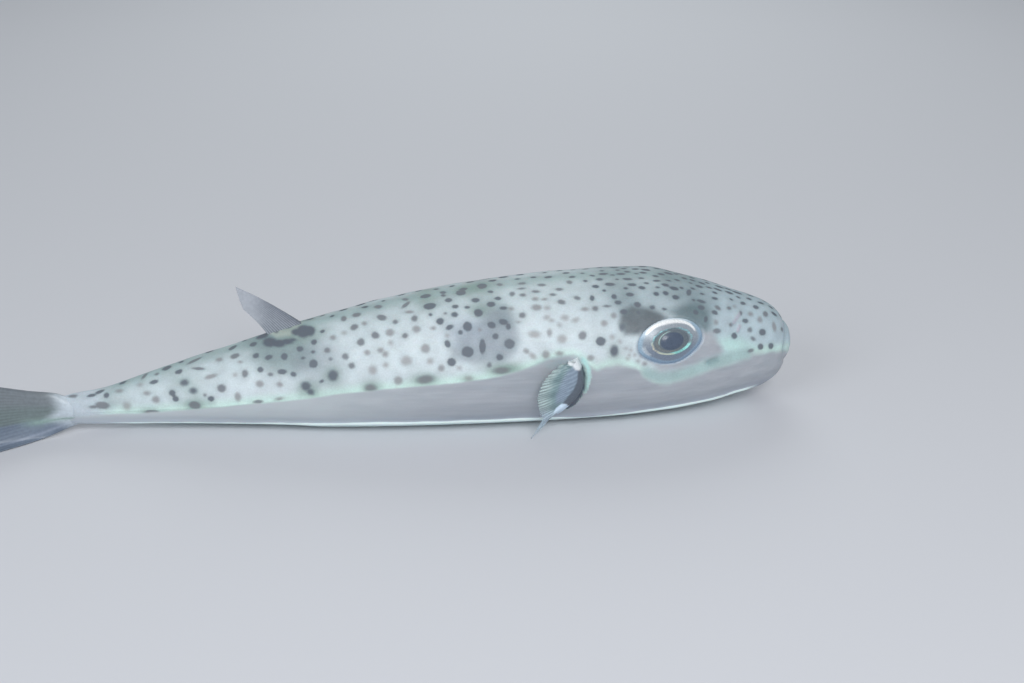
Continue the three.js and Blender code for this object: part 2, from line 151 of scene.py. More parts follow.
# ---------- body shape, as in the solids
SNOUT_X, STALK_X = 191.4, -190.0
MOUTH_Z, STALK_MIDDLE = 31.5, 13.3
NOSE_LENGTH, NOSE_POWER = 23.0, 2.7
# x, back height, belly line, half-width, height of the widest point, upper and lower power
STATIONS = np.array(
    [
        [191.4, 53.2, 7.5, 20.0, 31.0, 2.1, 2.2],
        [180, 54.8, 7.6, 21.5, 31, 2.15, 2.25],
        [165, 59.2, 5.4, 25, 31.5, 2.2, 2.35],
        [145, 66.2, 1.8, 30, 33, 2.3, 2.5],
        [120, 72.3, -0.3, 34.8, 35, 2.35, 2.6],
        [90, 73.9, -1.6, 37.4, 36, 2.2, 2.6],
        [40, 71.4, -2.2, 37.6, 34, 2.1, 2.45],
        [-10, 65, -2.2, 34.2, 30.5, 2.05, 2.35],
        [-56, 55.2, -1.2, 27.5, 26, 2, 2.35],
        [-76, 49.6, 1, 23.6, 23.4, 2, 2.35],
        [-100, 42.6, 2.3, 18.8, 20.4, 2, 2.35],
        [-130, 34.2, 3.5, 13.2, 17, 2, 2.35],
        [-165, 23.8, 4.8, 8, 13.8, 2, 2.25],
        [-190, 20.8, 5.8, 5, 13.3, 2, 2.1],
    ]
)
BEND_FROM, BEND_LENGTH, BEND_OUT = -120.0, 70.0, 3.0  # how the stalk bends to the right
FOLD_LEVEL, FOLD_CHIN, FOLD_REAR = 7.8, 13.0, 6.0  # height of the skin fold along the belly
FOLD_OUT, FOLD_WIDTH = 1.6, 2.0
CHIN_FROM, CHIN_LENGTH = 105.0, 67.0  # where the fold climbs to the chin
FLOOR_SOFT = 0.8  # how softly the belly flattens onto the floor
SKIN_CLEAR, FIN_CLEAR = 0.05, 0.04  # least heights over the floor

padded = np.pad(STATIONS, ((1, 1), (0, 0)), "edge")
SLOPES = (padded[2:] - padded[:-2]) / (padded[2:, :1] - padded[:-2, :1])


def profile(column, x):
    """Cubic Hermite curve through one column of the stations."""
    xs, ys, slopes = STATIONS[:, 0], STATIONS[:, column], SLOPES[:, column]
    i = np.clip(np.searchsorted(-xs, -np.asarray(x, float), side="right") - 1, 0, len(xs) - 2)
    span = xs[i + 1] - xs[i]
    t = np.clip((x - xs[i]) / span, 0, 1)
    first = (2 * t**3 - 3 * t**2 + 1) * ys[i] + (t**3 - 2 * t**2 + t) * span * slopes[i]
    return first + (3 * t**2 - 2 * t**3) * ys[i + 1] + (t**3 - t**2) * span * slopes[i + 1]


def openness(x):
    t = np.clip((x - (SNOUT_X - NOSE_LENGTH)) / NOSE_LENGTH, 0, 1)
    return (1 - t**NOSE_POWER) ** (1 / NOSE_POWER)


def fold_height(x):
    chin = np.clip((x - CHIN_FROM) / CHIN_LENGTH, 0, 1) ** 2
    return lerp(FOLD_LEVEL, FOLD_CHIN, chin) + rise(x, -20, -110) * (FOLD_REAR - FOLD_LEVEL)


def bend(x):
    return -BEND_OUT * np.maximum(0, (BEND_FROM - x) / BEND_LENGTH) ** 2


def hide(x, angle, side):
    """Skin points: angle is 90 degrees at the back and -90 at the belly line."""
    opening = openness(x)
    top, belly, mid = (MOUTH_Z + (profile(c, x) - MOUTH_Z) * opening for c in (1, 2, 4))
    half = profile(3, x) * opening
    upward = angle >= 0
    power = 2 / np.where(upward, profile(5, x), profile(6, x))
    reach = np.where(upward, top - mid, mid - belly)
    y = half * np.abs(np.cos(angle)) ** power
    z = mid + np.sign(angle) * reach * np.abs(np.sin(angle)) ** power
    fade = rise(x, 178, 164) * np.clip(y / 6.0, 0, 1)
    y = y + np.where(upward, 0.0, FOLD_OUT * fade * hill(z, fold_height(x), FOLD_WIDTH))
    z = 0.5 * (z + np.sqrt(z * z + FLOOR_SOFT**2))
    return np.stack([x + 0 * z, side * y + bend(x), z], -1)


def hide_at(x, z, side):
    """Skin point at a height on one side, and the outward normal there."""
    x, low, high = np.float64(x), -math.pi / 2, math.pi / 2
    for _ in range(40):
        at = np.float64((low + high) / 2)
        low, high = (at, high) if hide(x, at, side)[2] < z else (low, at)
    step = 0.03
    along = hide(x + 1, at, side) - hide(x - 1, at, side)
    about = hide(x, at + step, side) - hide(x, at - step, side)
    normal = unit(np.cross(along, about))
    return hide(x, at, side), normal * (1 if normal[1] * side > 0 else -1)


# ---------- the skin's grid
RINGS, HALF_STEPS = 540, 150  # cross-sections, and steps down one side of each
FOLD_CLOSER, FOLD_REACH = 1.6, 3.0  # how much closer the steps are at the fold, and over how far


def running(steps):
    """Distance run after each of some steps, from 0."""
    return np.concatenate([[0], np.cumsum(steps)])


def skin_grid():
    """Points of every cross-section from its back round its right side, and the way along each."""
    nose = SNOUT_X - NOSE_LENGTH * (1 - np.sin(np.linspace(0, math.pi / 2, 900)) ** 0.9)
    xs = np.concatenate([np.linspace(STALK_X, 150, 2400), nose])
    xs = np.unique(np.clip(xs, STALK_X, SNOUT_X - 1e-4))
    outline = np.stack([xs, (profile(1, xs) - MOUTH_Z) * openness(xs)], -1)
    run = running(np.linalg.norm(np.diff(outline, axis=0), axis=1))
    stations = np.interp(np.linspace(0, run[-1], RINGS), run, xs)
    angles = np.linspace(math.pi / 2, -math.pi / 2, 1201)
    rows, lengths = [], []
    for x in stations:
        line = hide(np.full_like(angles, x), angles, -1)
        steps = np.linalg.norm(np.diff(line, axis=0), axis=1)
        middle = (line[1:, 2] + line[:-1, 2]) / 2
        weighted = running(steps * (1 + FOLD_CLOSER * hill(middle, fold_height(x), FOLD_REACH)))
        wanted = np.linspace(0, weighted[-1], HALF_STEPS + 1)
        rows.append(np.stack([np.interp(wanted, weighted, line[:, k]) for k in range(3)], -1))
        lengths.append(np.interp(wanted, weighted, running(steps)))
    right, lengths = np.array(rows), np.array(lengths)
    left = right[:, -2:0:-1].copy()
    left[..., 1] = 2 * bend(stations)[:, None] - left[..., 1]
    return np.concatenate([right, left], 1), np.concatenate([lengths, lengths[:, -2:0:-1]], 1)


base, girth = skin_grid()
base_x, base_y, base_z = np.moveaxis(base, -1, 0)
side = np.where(np.arange(base.shape[1]) <= HALF_STEPS, -1, 1)[None, :] * np.ones((len(base), 1))
around = np.roll(base, -1, 1) - np.roll(base, 1, 1)
normals = unit(np.cross(around, np.gradient(base, axis=0)))
# the same place on the photographed side, for marks that both sides share
mirror_y = np.where(side < 0, base_y, 2 * bend(base_x) - base_y)
col, row = picture(np.stack([base_x, mirror_y, base_z], -1))

# ---------- places on the head and sides
EYE_X, EYE_Z = 122.2, 49.5
EYE_LONG, EYE_HIGH = 17.8, 11.6  # half-axes
EYE_TILT = math.radians(7.0)
EYE_REACH, EYE_FAR = 30.0, 9.0  # mm in which eye coordinates are worked out, and their value beyond
LIP_Z, LIP_WIDE, LIP_HIGH = 32.3, 14.0, 10.5  # the oval of both lips
GILL_LINE = [(583, 360), (588, 367), (589, 377), (587.5, 385), (586, 392)]
GILL_SLIT = [(579, 362), (583, 369), (584.5, 380), (583, 390), (579, 398), (572, 404)]
NOSTRIL_FLAPS = [[(739, 314), (736, 319), (733.5, 323)], [(739.5, 326), (737.5, 331)]]
NOSTRIL_PITS = [(731, 325), (737, 334)]
CHEEK_CREASE = [(722, 356.5), (712, 360.5), (704, 365)]
LATERAL_LINE = [
    (618, 345), (560, 342), (500, 340), (440, 343), (400, 348), (360, 358), (336, 370), (318, 385),
    (300, 394), (270, 401), (240, 404.5), (200, 407.5), (150, 410), (90, 412),
]


def almond(angle):
    """Narrows the eye's outline towards its two lower corners."""
    return 1 - 0.07 * np.sin(2 * angle) ** 2 * (np.sin(angle) < 0)


def eye_frame(way):
    point, normal = hide_at(EYE_X, EYE_Z, way)
    long = np.array([math.cos(EYE_TILT), 0, math.sin(EYE_TILT)])
    long = unit(long - normal * (long @ normal))
    high = np.cross(normal, long)
    return point, normal, long, high * (1 if high[2] > 0 else -1)


def eye_places(way):
    """The skin's points in eye coordinates: 1 at the lens's rim along each axis, and the angle."""
    point, _, long, high = eye_frame(way)
    d = base - point
    a, b = (d @ long) / EYE_LONG, (d @ high) / EYE_HIGH
    angle = np.arctan2(b, a)
    near = np.linalg.norm(d, axis=-1) <= EYE_REACH
    return np.where(near, np.hypot(a, b) / almond(angle), EYE_FAR), angle


eyes = {way: eye_places(way) for way in (-1, 1)}
lip_front = rise(base_x, 172, 180)
lip_oval = np.hypot(base_y / LIP_WIDE, (base_z - LIP_Z) / LIP_HIGH)
nostril_flaps = [near_line(col, row, flap)[0] for flap in NOSTRIL_FLAPS]
gill, gill_share = near_line(col, row, GILL_LINE)
crease, crease_share = near_line(col, row, CHEEK_CREASE)


def relief():
    """Heights of the skin's forms over the smooth body, in mm."""
    # lips: an oval swelling round the mouth with a groove behind it
    lower = smooth((MOUTH_Z - base_z) / 3.0 + 0.5)
    out = lip_front * lerp(2.0, 1.7, lower) * hill(lip_oval, 0.58, 0.32)
    out -= lip_front * 1.3 * hill(lip_oval, 1.04, 0.09) * lerp(1.0, 0.4, lower)
    # eyes: a pit for the lens, a rim round it that is highest over the top, and a soft brow
    for way, (r, angle) in eyes.items():
        over_top = 0.5 + 0.5 * np.sin(angle)
        out -= 2.8 * rise(r, 1.02, 0.92)
        out += over_top * (0.6 * hill(r, 1.06, 0.06) + 0.5 * hill(r, 1.25, 0.16))
        out += 0.9 * hill(base_x, 118, 9) * hill(way * base_y, 12, 6) * (base_z > 40)
    # raised root of the dorsal fin
    out += 1.3 * hill(base_x, -72, 14, 4) * hill(base_y, 0, 4.5) * (base_z > 35)
    # nostrils: two small flaps of skin, each over a pit
    for flap in nostril_flaps:
        out += 0.6 * hill(flap, 0, 1.8)
    for pit_col, pit_row in NOSTRIL_PITS:
        out -= 0.7 * hill(np.hypot(col - pit_col, row - pit_row), 0, 1.4)
    # gill opening: a flap in front of a slit, then the cheek crease and the lateral line
    slit, slit_share = near_line(col, row, GILL_SLIT)
    out += 0.7 * hill(gill, 0, 5) * ends(gill_share, 4)
    out -= 1.6 * hill(slit, 0, 1.6) * ends(slit_share, 6)
    out -= 0.5 * hill(crease, 0, 1.3) * ends(crease_share, 5)
    out += 0.22 * hill(near_line(col, row, LATERAL_LINE)[0], 0, 0.8)
    # slow unevenness of soft flesh
    uneven = np.sin(base_x * 0.19 + 2.1 * np.sin(base_z * 0.11)) * np.sin(girth * 0.23 + base_x * 0.05)
    return out + 0.18 * uneven * rise(base_z, 4, 10)


grid = base + normals * relief()[..., None]
# the mouth opens as a short slot between the lips
SLOT_WIDE, SLOT_DEEP = 9.0, 6.5
slot_half = np.clip(1 - (np.abs(base_y) / SLOT_WIDE) ** 3, 0, 1)
slot_away = (base_z - MOUTH_Z + 0.012 * base_y**2) / (0.5 + slot_half)
slot = rise(base_x, 184, 188) * slot_half * hill(slot_away, 0, 1, 4)
grid[..., 0] -= SLOT_DEEP * slot
# the stalk's end narrows inside the tail fin's sleeve
grid[..., 1] -= (grid[..., 1] - bend(base_x)) * 0.4 * rise(base_x, -176, -190)
grid[..., 2] -= (grid[..., 2] - STALK_MIDDLE) * 0.12 * rise(base_x, -180, -190)
grid[..., 2] = np.maximum(grid[..., 2], SKIN_CLEAR)


# ---------- markings
def blot(cx, cy, rx, ry, tilt=0.0, power=2.0):
    """A soft oval in the view's pixels, 1 in its middle."""
    c, s = math.cos(math.radians(tilt)), math.sin(math.radians(tilt))
    u, v = col - cx, row - cy
    return hill(np.hypot((c * u - s * v) / rx, (s * u + c * v) / ry), 0, 1, power)


# Dark marks on the photographed side. For each darkness and edge softness in mm: the ovals as
# column, row, half-width and half-height in view pixels, then the tilt in degrees where there is one.
MARKS = {
    (0.88, 0.6): [
        (425, 296, 5.5, 2.2, 10), (429, 306, 6.5, 3.2, 8), (461, 292, 5, 3), (482, 286.5, 5, 2.8),
        (462, 283.5, 4.5, 1.6, 8), (443, 291, 3.3, 1.5), (443, 295.5, 2.5, 1.3), (448, 300, 3.8, 2.3),
        (456, 307, 3.5, 2), (476, 300, 4.2, 2.3), (468, 307, 2.6, 1.5), (491, 304.5, 4.5, 2.8),
        (479, 312, 4.5, 4), (498, 298, 3.6, 1.8), (503, 308, 4, 1.8), (455, 314, 3.5, 2.6),
        (440, 321, 4, 3.4), (449, 327, 4, 2.4, 25), (460, 333, 2.4, 2.2), (468, 326, 4.6, 5),
        (491, 325, 4.2, 3.2, -15), (503, 321.5, 4.6, 3, -10), (508.5, 326, 2.6, 3.2), (496, 337, 3.1, 3.1),
        (510, 343, 5.4, 5, -20), (467, 351.5, 6.2, 5.4), (483, 347.5, 3.3, 7.4), (499, 357, 3.5, 3.5),
        (448, 344, 3.1, 3.7, 20), (452, 362.5, 4.4, 4.2, -15), (431, 315, 2, 1.6), (592, 298, 2.4, 3),
        (600.5, 341.5, 5, 4.5), (491, 292, 2.8, 1.4), (618, 302.5, 3.4, 2.2), (623, 311, 3.8, 2.6),
        (637, 304.5, 3.6, 2.8), (638, 312, 2.2, 1.8), (614, 296, 2.8, 2.4), (630, 294.5, 4.2, 2),
        (653, 307, 3, 2.2), (664, 308.5, 2.6, 1.4), (701, 308, 3.6, 2.4, -10),
        (695.5, 312.5, 2.8, 2.8, -15), (706, 319, 2, 3.4, -25), (734, 335.5, 3.4, 3.2, 20),
        (745.5, 321, 3.2, 2.2, -10), (762, 332, 3.6, 3.4), (760, 347, 3, 3.2), (770.5, 346.5, 2.9, 2.9),
        (756, 307, 3.2, 2, -10), (742.5, 303, 3, 1.8, -10), (714.5, 312, 3.4, 2.2, -20),
        (702, 301, 5, 1.5, -15), (689, 292.5, 2.6, 3.4, -30), (321, 382, 2.6, 1.5, 30),
        (313.5, 364, 4.4, 4.4), (299.5, 349, 3.4, 2.8), (314.5, 342.5, 3, 2.7), (312.5, 352, 2.3, 1.6),
        (303, 358, 2, 1.4), (323, 331, 2.6, 1.8, 20), (285, 357, 3.4, 3.5), (268.5, 357.5, 4, 2.5, 15),
        (255.5, 356, 3.4, 2.6, 15), (253.5, 344.5, 4, 2.1, 12), (281.5, 372, 4.8, 2.7),
        (293.5, 374, 3.2, 2.6, -15), (261, 369.5, 3.2, 2.8), (211, 399, 3.2, 2.8), (172, 393, 3.4, 3.2),
        (176, 399, 3.2, 3), (174, 396, 2.2, 2.6), (106.5, 395.5, 2.8, 2.7), (99, 391.8, 4.8, 1.7, 22),
        (92, 395.2, 4.8, 1.5, 12), (154, 382, 4.6, 2.1, 15), (179, 371.5, 4, 2.3, 15),
        (167, 368, 5, 1.9, 20), (123, 381.5, 4, 1.3, 20), (233, 347.5, 4.6, 1.7, 30),
    ],
    (1.0, 1.1): [
        (270, 342, 7.5, 4.2), (279, 343, 8, 3.6), (287, 341.8, 7, 2.6), (293, 340.6, 4, 1.6),
        (303.5, 331, 7.4, 5.8, 6), (310, 330.6, 6, 5, -8), (297, 332.4, 5, 3), (262, 334.5, 6, 2.4, 8),
        (258, 337, 3, 1.6),
    ],
    (0.9, 1.1): [
        (614.5, 350.5, 4.2, 5.6), (623, 328, 3, 3.6), (333, 375, 5, 5.4), (306, 386.5, 5, 4.4, -20),
        (311, 391.5, 4, 3, -20), (193.5, 390.5, 4, 3), (184, 383, 4.2, 3.2, 10),
    ],
    (0.7, 1.4): [
        (502, 371, 8.5, 3.4, 5), (425, 379, 8.5, 4, 8), (370, 387.5, 6, 3.6),
    ],
    (0.74, 0.8): [
        (489, 365, 2.4, 2.6), (445, 314, 1.6, 1.2), (414, 319, 3, 3.2), (405, 336, 3.2, 2.5, 15),
        (381, 317.5, 5, 3, -10), (395.5, 322.5, 2.8, 2.2), (375.5, 334.5, 4.2, 3.3, -15),
        (356, 314.5, 4.6, 2.2, 10), (354, 327, 4, 2.9, 15), (361, 342, 3.8, 3.8), (345, 356, 3.4, 3.2, -10),
        (351, 366, 3.2, 3.2), (344, 318.5, 3, 2.6), (378, 306.5, 4.2, 1.9), (406, 305, 5, 1.9, 38),
        (405, 297.5, 3.4, 1.4), (523, 315.5, 3.4, 2.8), (582.5, 336, 3.8, 4.4, -20),
        (562, 302.5, 4.2, 2.4, -10), (577, 298.5, 3.4, 2, -15), (594.5, 309, 3.2, 2.6),
        (606.5, 306, 4.4, 1.3, 5), (535, 292, 4, 1.4), (523, 295.5, 3.2, 1.6), (553, 294, 3.4, 1.6),
        (512, 294.5, 3, 2.2, 20), (559, 289.5, 4, 1.6), (542, 284.5, 4.4, 1.5), (522, 283.5, 4, 1.4, 5),
        (521, 289, 4, 1.1, 5), (500, 284.5, 3, 1.6), (570, 282, 3, 1.8, -10), (716, 331, 4.6, 2.6),
        (749.5, 330, 2.6, 2.6), (753, 339, 2.8, 2, -25), (750.5, 351, 3.4, 1.9, 20),
        (765.5, 314, 2.8, 3, -20), (740, 313.5, 1.6, 2.4), (730.7, 324.5, 1.9, 1.9),
        (717.5, 307.5, 3.2, 2, -35), (728.5, 308.5, 2.4, 1.8, -10), (782, 329.5, 1.6, 2.4),
        (277, 333, 2.2, 1.6), (328, 350, 3, 2.8), (331.5, 359.5, 1.8, 1.6), (270, 374.5, 2.8, 1.8),
        (245, 373.5, 3.2, 3.8), (221.5, 388.5, 4.4, 4), (258, 402, 5, 1.8, 5), (205, 395, 1.6, 1.4),
        (195, 405, 6, 4), (151, 412, 7, 2.2), (102, 405.5, 7.5, 3.6, -5), (93, 407, 4.5, 1.6, 5),
        (73, 396.5, 4.6, 1.7), (157, 374, 2.4, 1.2, 20), (145, 376, 3.8, 1.5, 48),
        (194.5, 360.5, 8, 1.4, 25), (198, 368.5, 6.5, 1.4, -2), (235.5, 356, 4.6, 2.6, 15),
    ],
    (0.55, 1.0): [
        (511, 308, 2.6, 1.6), (480, 330, 1.6, 1.6), (417, 329.5, 4, 3.4), (433, 328, 2.6, 1.8),
        (426, 348, 4.6, 4.4), (441, 369, 3.2, 3.2), (398, 380, 4.2, 4), (390, 332, 4.2, 3.6),
        (364, 323.5, 2.4, 1.8), (381, 350, 3, 2.6), (385, 354, 3.2, 2.8), (368, 353, 2.8, 2.4),
        (409, 312.5, 4.5, 1.5), (518, 322, 2.2, 1.1), (550, 333.5, 2.6, 3.8), (526, 352, 3, 2.4, -35),
        (545.5, 354, 3.8, 3.8), (560, 353, 3.8, 2.4), (536, 308, 5, 3), (585.5, 309.5, 4, 2),
        (591, 358.5, 3.6, 2.8), (604.5, 323, 3.2, 3), (614, 315.5, 2.8, 3), (535, 298.5, 3.2, 1.8),
        (545, 299, 3, 1.3), (716, 322, 2.4, 2.4), (774, 327, 2.2, 5, 5), (759.5, 320, 2.6, 3),
        (750.5, 313.5, 2.6, 2.2), (644, 363, 2.4, 2, 20), (332.5, 338, 3.2, 2.4), (259.5, 384, 3.8, 3.4),
        (279.5, 384, 2.8, 2.6), (238, 397, 3.2, 4.3), (280, 399, 4, 1.6, 10), (155.5, 399.5, 3.8, 3.2),
        (147, 393, 3.6, 2.2), (118.5, 391, 4, 1.9, 5), (211, 376, 6.5, 2.1, 15), (220, 360, 3.6, 2, 5),
        (241, 362, 2.6, 1.3),
    ],
    (0.42, 1.4): [
        (447, 335, 1.8, 1.5), (407, 361.5, 5.2, 4.7), (431, 360.5, 3.2, 3), (459, 368.5, 2.2, 2),
        (468, 379, 3.8, 2.4), (391, 343, 2.2, 2.2), (372, 370, 4, 4.2), (386, 365.5, 2.6, 2.4),
        (344, 333, 2.6, 2), (534, 333.5, 6, 3.4, -5), (562.5, 339.5, 4.6, 4.2), (533, 356.5, 3.8, 2.4, -35),
        (547, 307.5, 2.6, 1.8), (547, 318, 3, 2.2), (551, 321, 2.6, 1.6), (564.5, 317, 3.8, 2.8),
        (576, 320, 3.6, 2.2, 20), (560, 325, 2, 2), (613, 336, 2.4, 2), (734.5, 306.5, 1.8, 1.4),
        (631, 350, 1.5, 1.5), (629, 355, 1.3, 1.2), (635, 354, 1.3, 1.3), (627, 359, 1.5, 1.4),
        (638, 361, 1.5, 1.4), (626, 349, 1.8, 1.2), (641, 356, 1.2, 1.2), (620, 341, 1.5, 1.2),
        (235, 374.5, 2, 1.6), (127, 406, 3.8, 3.8), (140.5, 384.5, 2.2, 1.4),
    ],
}
# Above this line, and on the whole left side, the marks are scattered by rule.
SCATTER_ABOVE = [
    (40, 384), (120, 378), (200, 352), (300, 324), (340, 312), (400, 296), (460, 281), (520, 280),
    (575, 279), (600, 296), (625, 291), (700, 301), (735, 302), (770, 312), (800, 330),
]
SILVER_EDGE = [
    (50, 420), (62, 419), (80, 417), (100, 414.5), (140, 413), (200, 409), (260, 403), (300, 399.5),
    (340, 394), (400, 388), (450, 383.5), (480, 380), (500, 376), (520, 370.5), (534, 366), (545, 361),
    (560, 357), (573, 356), (581, 359), (590, 366), (597, 370), (605, 367), (618, 364), (627, 365),
    (636, 368), (645, 375), (652, 381), (660, 384), (670, 383.5), (680, 379), (690, 374), (700, 370),
    (720, 363), (740, 357.5), (752, 353.5), (783, 350.5), (800, 350),
]
MARK_REACH = 22.0  # mm round a mark's middle in which its edge is worked out
LEAST_RISE = 0.3  # keeps marks near the skyline from spreading over the back
CRISP, HAZY = 0.6, 0.95  # softness of a scattered mark's edge, mm
FAR = 9.0  # distance in mm that stands for no mark near
TRIES = 12000  # places tried for scattered marks
GAP_BACK, GAP_SIDE, GAP_HEAD = 9.0, 13.0, 5.6  # mm between the middles of scattered marks
SIZE_BACK, SIZE_SIDE, SIZE_HEAD = 1.6, 2.4, 1.15  # their half-height, mm
FACING = 0.02  # least turn towards the camera where a mark of the photographed side is laid

spot = np.full(col.shape, FAR)  # mm from the nearest mark's edge, negative inside
spot_dark = np.zeros(col.shape)
spot_soft = np.full(col.shape, CRISP)
placed = []


def lay_mark(at, half, tilt, dark, soft, in_view):
    """Lays an oval mark at one of the grid's points. half is in view pixels, or in mm if not in_view."""
    centre, normal = base[at], normals[at]
    tangent = unit(np.array([1.0, 0, 0]) - normal * normal[0])
    across = np.cross(normal, tangent)
    window = slice(*np.searchsorted(base[:, 0, 0], [centre[0] - MARK_REACH, centre[0] + MARK_REACH]))
    d = base[window] - centre
    near = (np.linalg.norm(d, axis=-1) < MARK_REACH) & ((normals[window] @ normal) > 0.2)
    u, v = d @ tangent, d @ across
    area = 1.0
    if in_view:
        scale = FOCAL_PX / -((centre - cam_place) @ cam_back)
        up = across @ cam_up
        up = math.copysign(max(LEAST_RISE, abs(up)), up)
        to_view = scale * np.array([[tangent @ cam_right, across @ cam_right], [tangent @ cam_up, up]])
        u, v = to_view[0, 0] * u + to_view[0, 1] * v, to_view[1, 0] * u + to_view[1, 1] * v
        area = abs(np.linalg.det(to_view))
    c, s = math.cos(math.radians(tilt)), math.sin(math.radians(tilt))
    radius = np.hypot((c * u + s * v) / half[0], (c * v - s * u) / half[1])
    size = math.sqrt(half[0] * half[1] / area)
    away = np.where(near, (radius - 1) * size, FAR)
    nearer = away < spot[window]
    for values, new in ((spot, away), (spot_dark, dark), (spot_soft, soft)):
        values[window] = np.where(nearer, new, values[window])
    placed.append((*centre, size))


seen = (side < 0) & ((normals @ cam_back) > FACING)
for (dark, soft), ovals in MARKS.items():
    for mark_col, mark_row, half_wide, half_high, *tilt in ovals:
        away = np.where(seen, np.hypot(col - mark_col, row - mark_row), 1e9)
        nearest = np.unravel_index(np.argmin(away), away.shape)
        lay_mark(nearest, (half_wide, half_high), sum(tilt), dark, soft, in_view=True)

SIDE_SCALE, HEAD_SCALE = 1.75, 1.9  # view pixels to a millimetre along the side and on the head
silver_line = np.array(SILVER_EDGE)
silver_depth = (row - np.interp(col, silver_line[:, 0], silver_line[:, 1])) / SIDE_SCALE  # mm below the edge

# Scattered marks: closer and smaller on the head and the back, larger in the saddles.
scatter_line = np.array(SCATTER_ABOVE, float)
may_scatter = (side > 0) | (row < np.interp(col, scatter_line[:, 0], scatter_line[:, 1]))
may_scatter &= (silver_depth < -3.5) & (base_x > STALK_X + 6) & (base_x < SNOUT_X - 3)
for r, _ in eyes.values():
    may_scatter &= r > 1.2
tries = np.argwhere(may_scatter)
saddle = np.maximum(blot(488, 335, 34, 30, 0, 4), blot(290, 352, 40, 28, -6, 4))
for i, j in tries[RNG.permutation(len(tries))[:TRIES]]:
    head, low = rise(base_x[i, j], 60, 100), rise(girth[i, j], 12, 47)
    gap = lerp(lerp(GAP_BACK, GAP_SIDE, low), GAP_HEAD, head) * RNG.uniform(0.8, 1.15)
    size = lerp(lerp(SIZE_BACK, SIZE_SIDE, low), SIZE_HEAD, head)
    size *= RNG.uniform(0.65, 1.3) * (1 + 0.3 * saddle[i, j])
    known = np.array(placed)
    if np.min(np.linalg.norm(known[:, :3] - base[i, j], axis=1) - 0.45 * known[:, 3]) < gap * 0.78:
        continue
    dark = lerp(1.0, RNG.uniform(0.4, 1.0), low * (1 - head) * (1 - saddle[i, j]))
    half = (size * lerp(RNG.uniform(1.0, 1.4), RNG.uniform(1.2, 1.9), head), size)
    tilt = RNG.uniform(-1, 1) * lerp(30, 15, head)
    lay_mark((i, j), half, tilt, dark, CRISP if dark > 0.75 else HAZY, in_view=False)


# ---------- skin tones
FLANK, BACK, CREST, GLOW = (203, 214, 219), (160, 178, 182), (130, 157, 156), (202, 232, 222)
SNOUT, MINT, MOSS, SAGE = (169, 187, 197), (190, 228, 220), (104, 132, 120), (112, 132, 134)
LAVENDER, SADDLE_GREY = (146, 157, 174), (134, 143, 154)
CROWN, TEAL, SOCKET = (134, 152, 161), (138, 162, 172), (128, 146, 168)
UMBER, SLATE = (98, 106, 112), (86, 106, 112)
CHEEK, CREASE_SHADE, GILL_RIM = (160, 184, 186), (118, 142, 146), (174, 224, 220)
AXIL_BLACK, GROOVE_SHADE, PINK = (92, 102, 114), (112, 130, 142), (172, 164, 178)
SLEEVE, PAD = (186, 197, 206), (176, 186, 178)

# Soft ovals of tint. For each colour and power: column, row, half-width, half-height and share, then
# the tilt in degrees where there is one. Later ones lie over earlier ones.
TINTS = [
    (MINT, 3, [(732, 345, 20, 9, 0.6)]),
    # saddle behind the pectoral fin, reaching up and back over the back
    (LAVENDER, 3, [(470, 332, 26, 17, 0.55)]),
    (SADDLE_GREY, 4, [(502, 334, 18, 21, 0.5), (483, 353, 30, 11, 0.35)]),
    (SAGE, 3, [(496, 311, 22, 13, 0.5, -30)]),
    (MOSS, 3, [(478, 310, 12, 8, 0.4)]),
    (SAGE, 3, [(455, 298, 44, 10, 0.12, 12)]),
    (MOSS, 2, [(427, 301, 13, 9, 0.42), (478, 288, 15, 7, 0.5), (462, 290, 10, 6, 0.4)]),
    # saddle under the dorsal fin
    (SAGE, 4, [(284, 355, 36, 20, 0.7, -6)]),
    (SADDLE_GREY, 4, [(318, 362, 26, 26, 0.4, -20)]),
    (MOSS, 3, [(300, 335, 24, 10, 0.5, 10)]),
    (SAGE, 3, [(262, 341, 22, 9, 0.3, 5)]),
    # green along the stalk's lower edge, and halos of the marks along the silver's edge
    (MOSS, 4, [(80, 415.8, 30, 2.8, 0.55, -2)]),
    (MOSS, 2, [
        (195, 404, 15, 7, 0.6), (183, 382, 12, 8, 0.3), (333, 376, 11, 11, 0.5), (308, 389, 13, 9, 0.55),
        (371, 386, 11, 7, 0.5), (425, 379, 15, 7, 0.6), (505, 369, 20, 7, 0.75), (103, 403, 16, 7, 0.4),
        (614, 352, 8, 10, 0.25), (193, 391, 9, 7, 0.25), (150, 411, 12, 4, 0.35), (468, 379, 8, 4, 0.3),
    ]),
    # dark bands over the head, before and behind the pale gap above the eye
    (CROWN, 2, [(645, 304, 54, 30, 0.58)]),
    (SLATE, 4, [(618, 282, 20, 20, 0.3)]),
    (SLATE, 3, [(624, 303, 14, 9, 0.3)]),
    (SLATE, 4, [(680, 282, 26, 20, 0.38, -25)]),
    (SLATE, 3, [(700, 302, 18, 12, 0.3, -20)]),
]
DORSAL_PAD = [(268, 333.5), (283, 328), (297, 323), (303, 325), (298, 331), (290, 336), (276, 338)]
SADDLE_EDGE = [
    (505, 305), (513, 319), (519, 335), (518, 351), (505, 362), (484, 363), (463, 363), (451, 358),
    (449, 347), (458, 337), (470, 329), (480, 318), (493, 309),
]
REAR_PATCH = [
    (621, 311), (632, 305), (648, 308), (660, 313), (667, 318), (659, 323), (648, 331), (638, 335),
    (625, 335), (619, 324),
]
FRONT_PATCH = [
    (671, 312), (678, 307), (690, 303), (702, 303), (709, 312), (711, 325), (707, 334), (700, 330),
    (690, 323), (678, 318),
]
CHEEK_BAND = [(746, 354), (728, 359), (710, 364), (695, 370), (678, 375), (660, 377), (648, 373)]
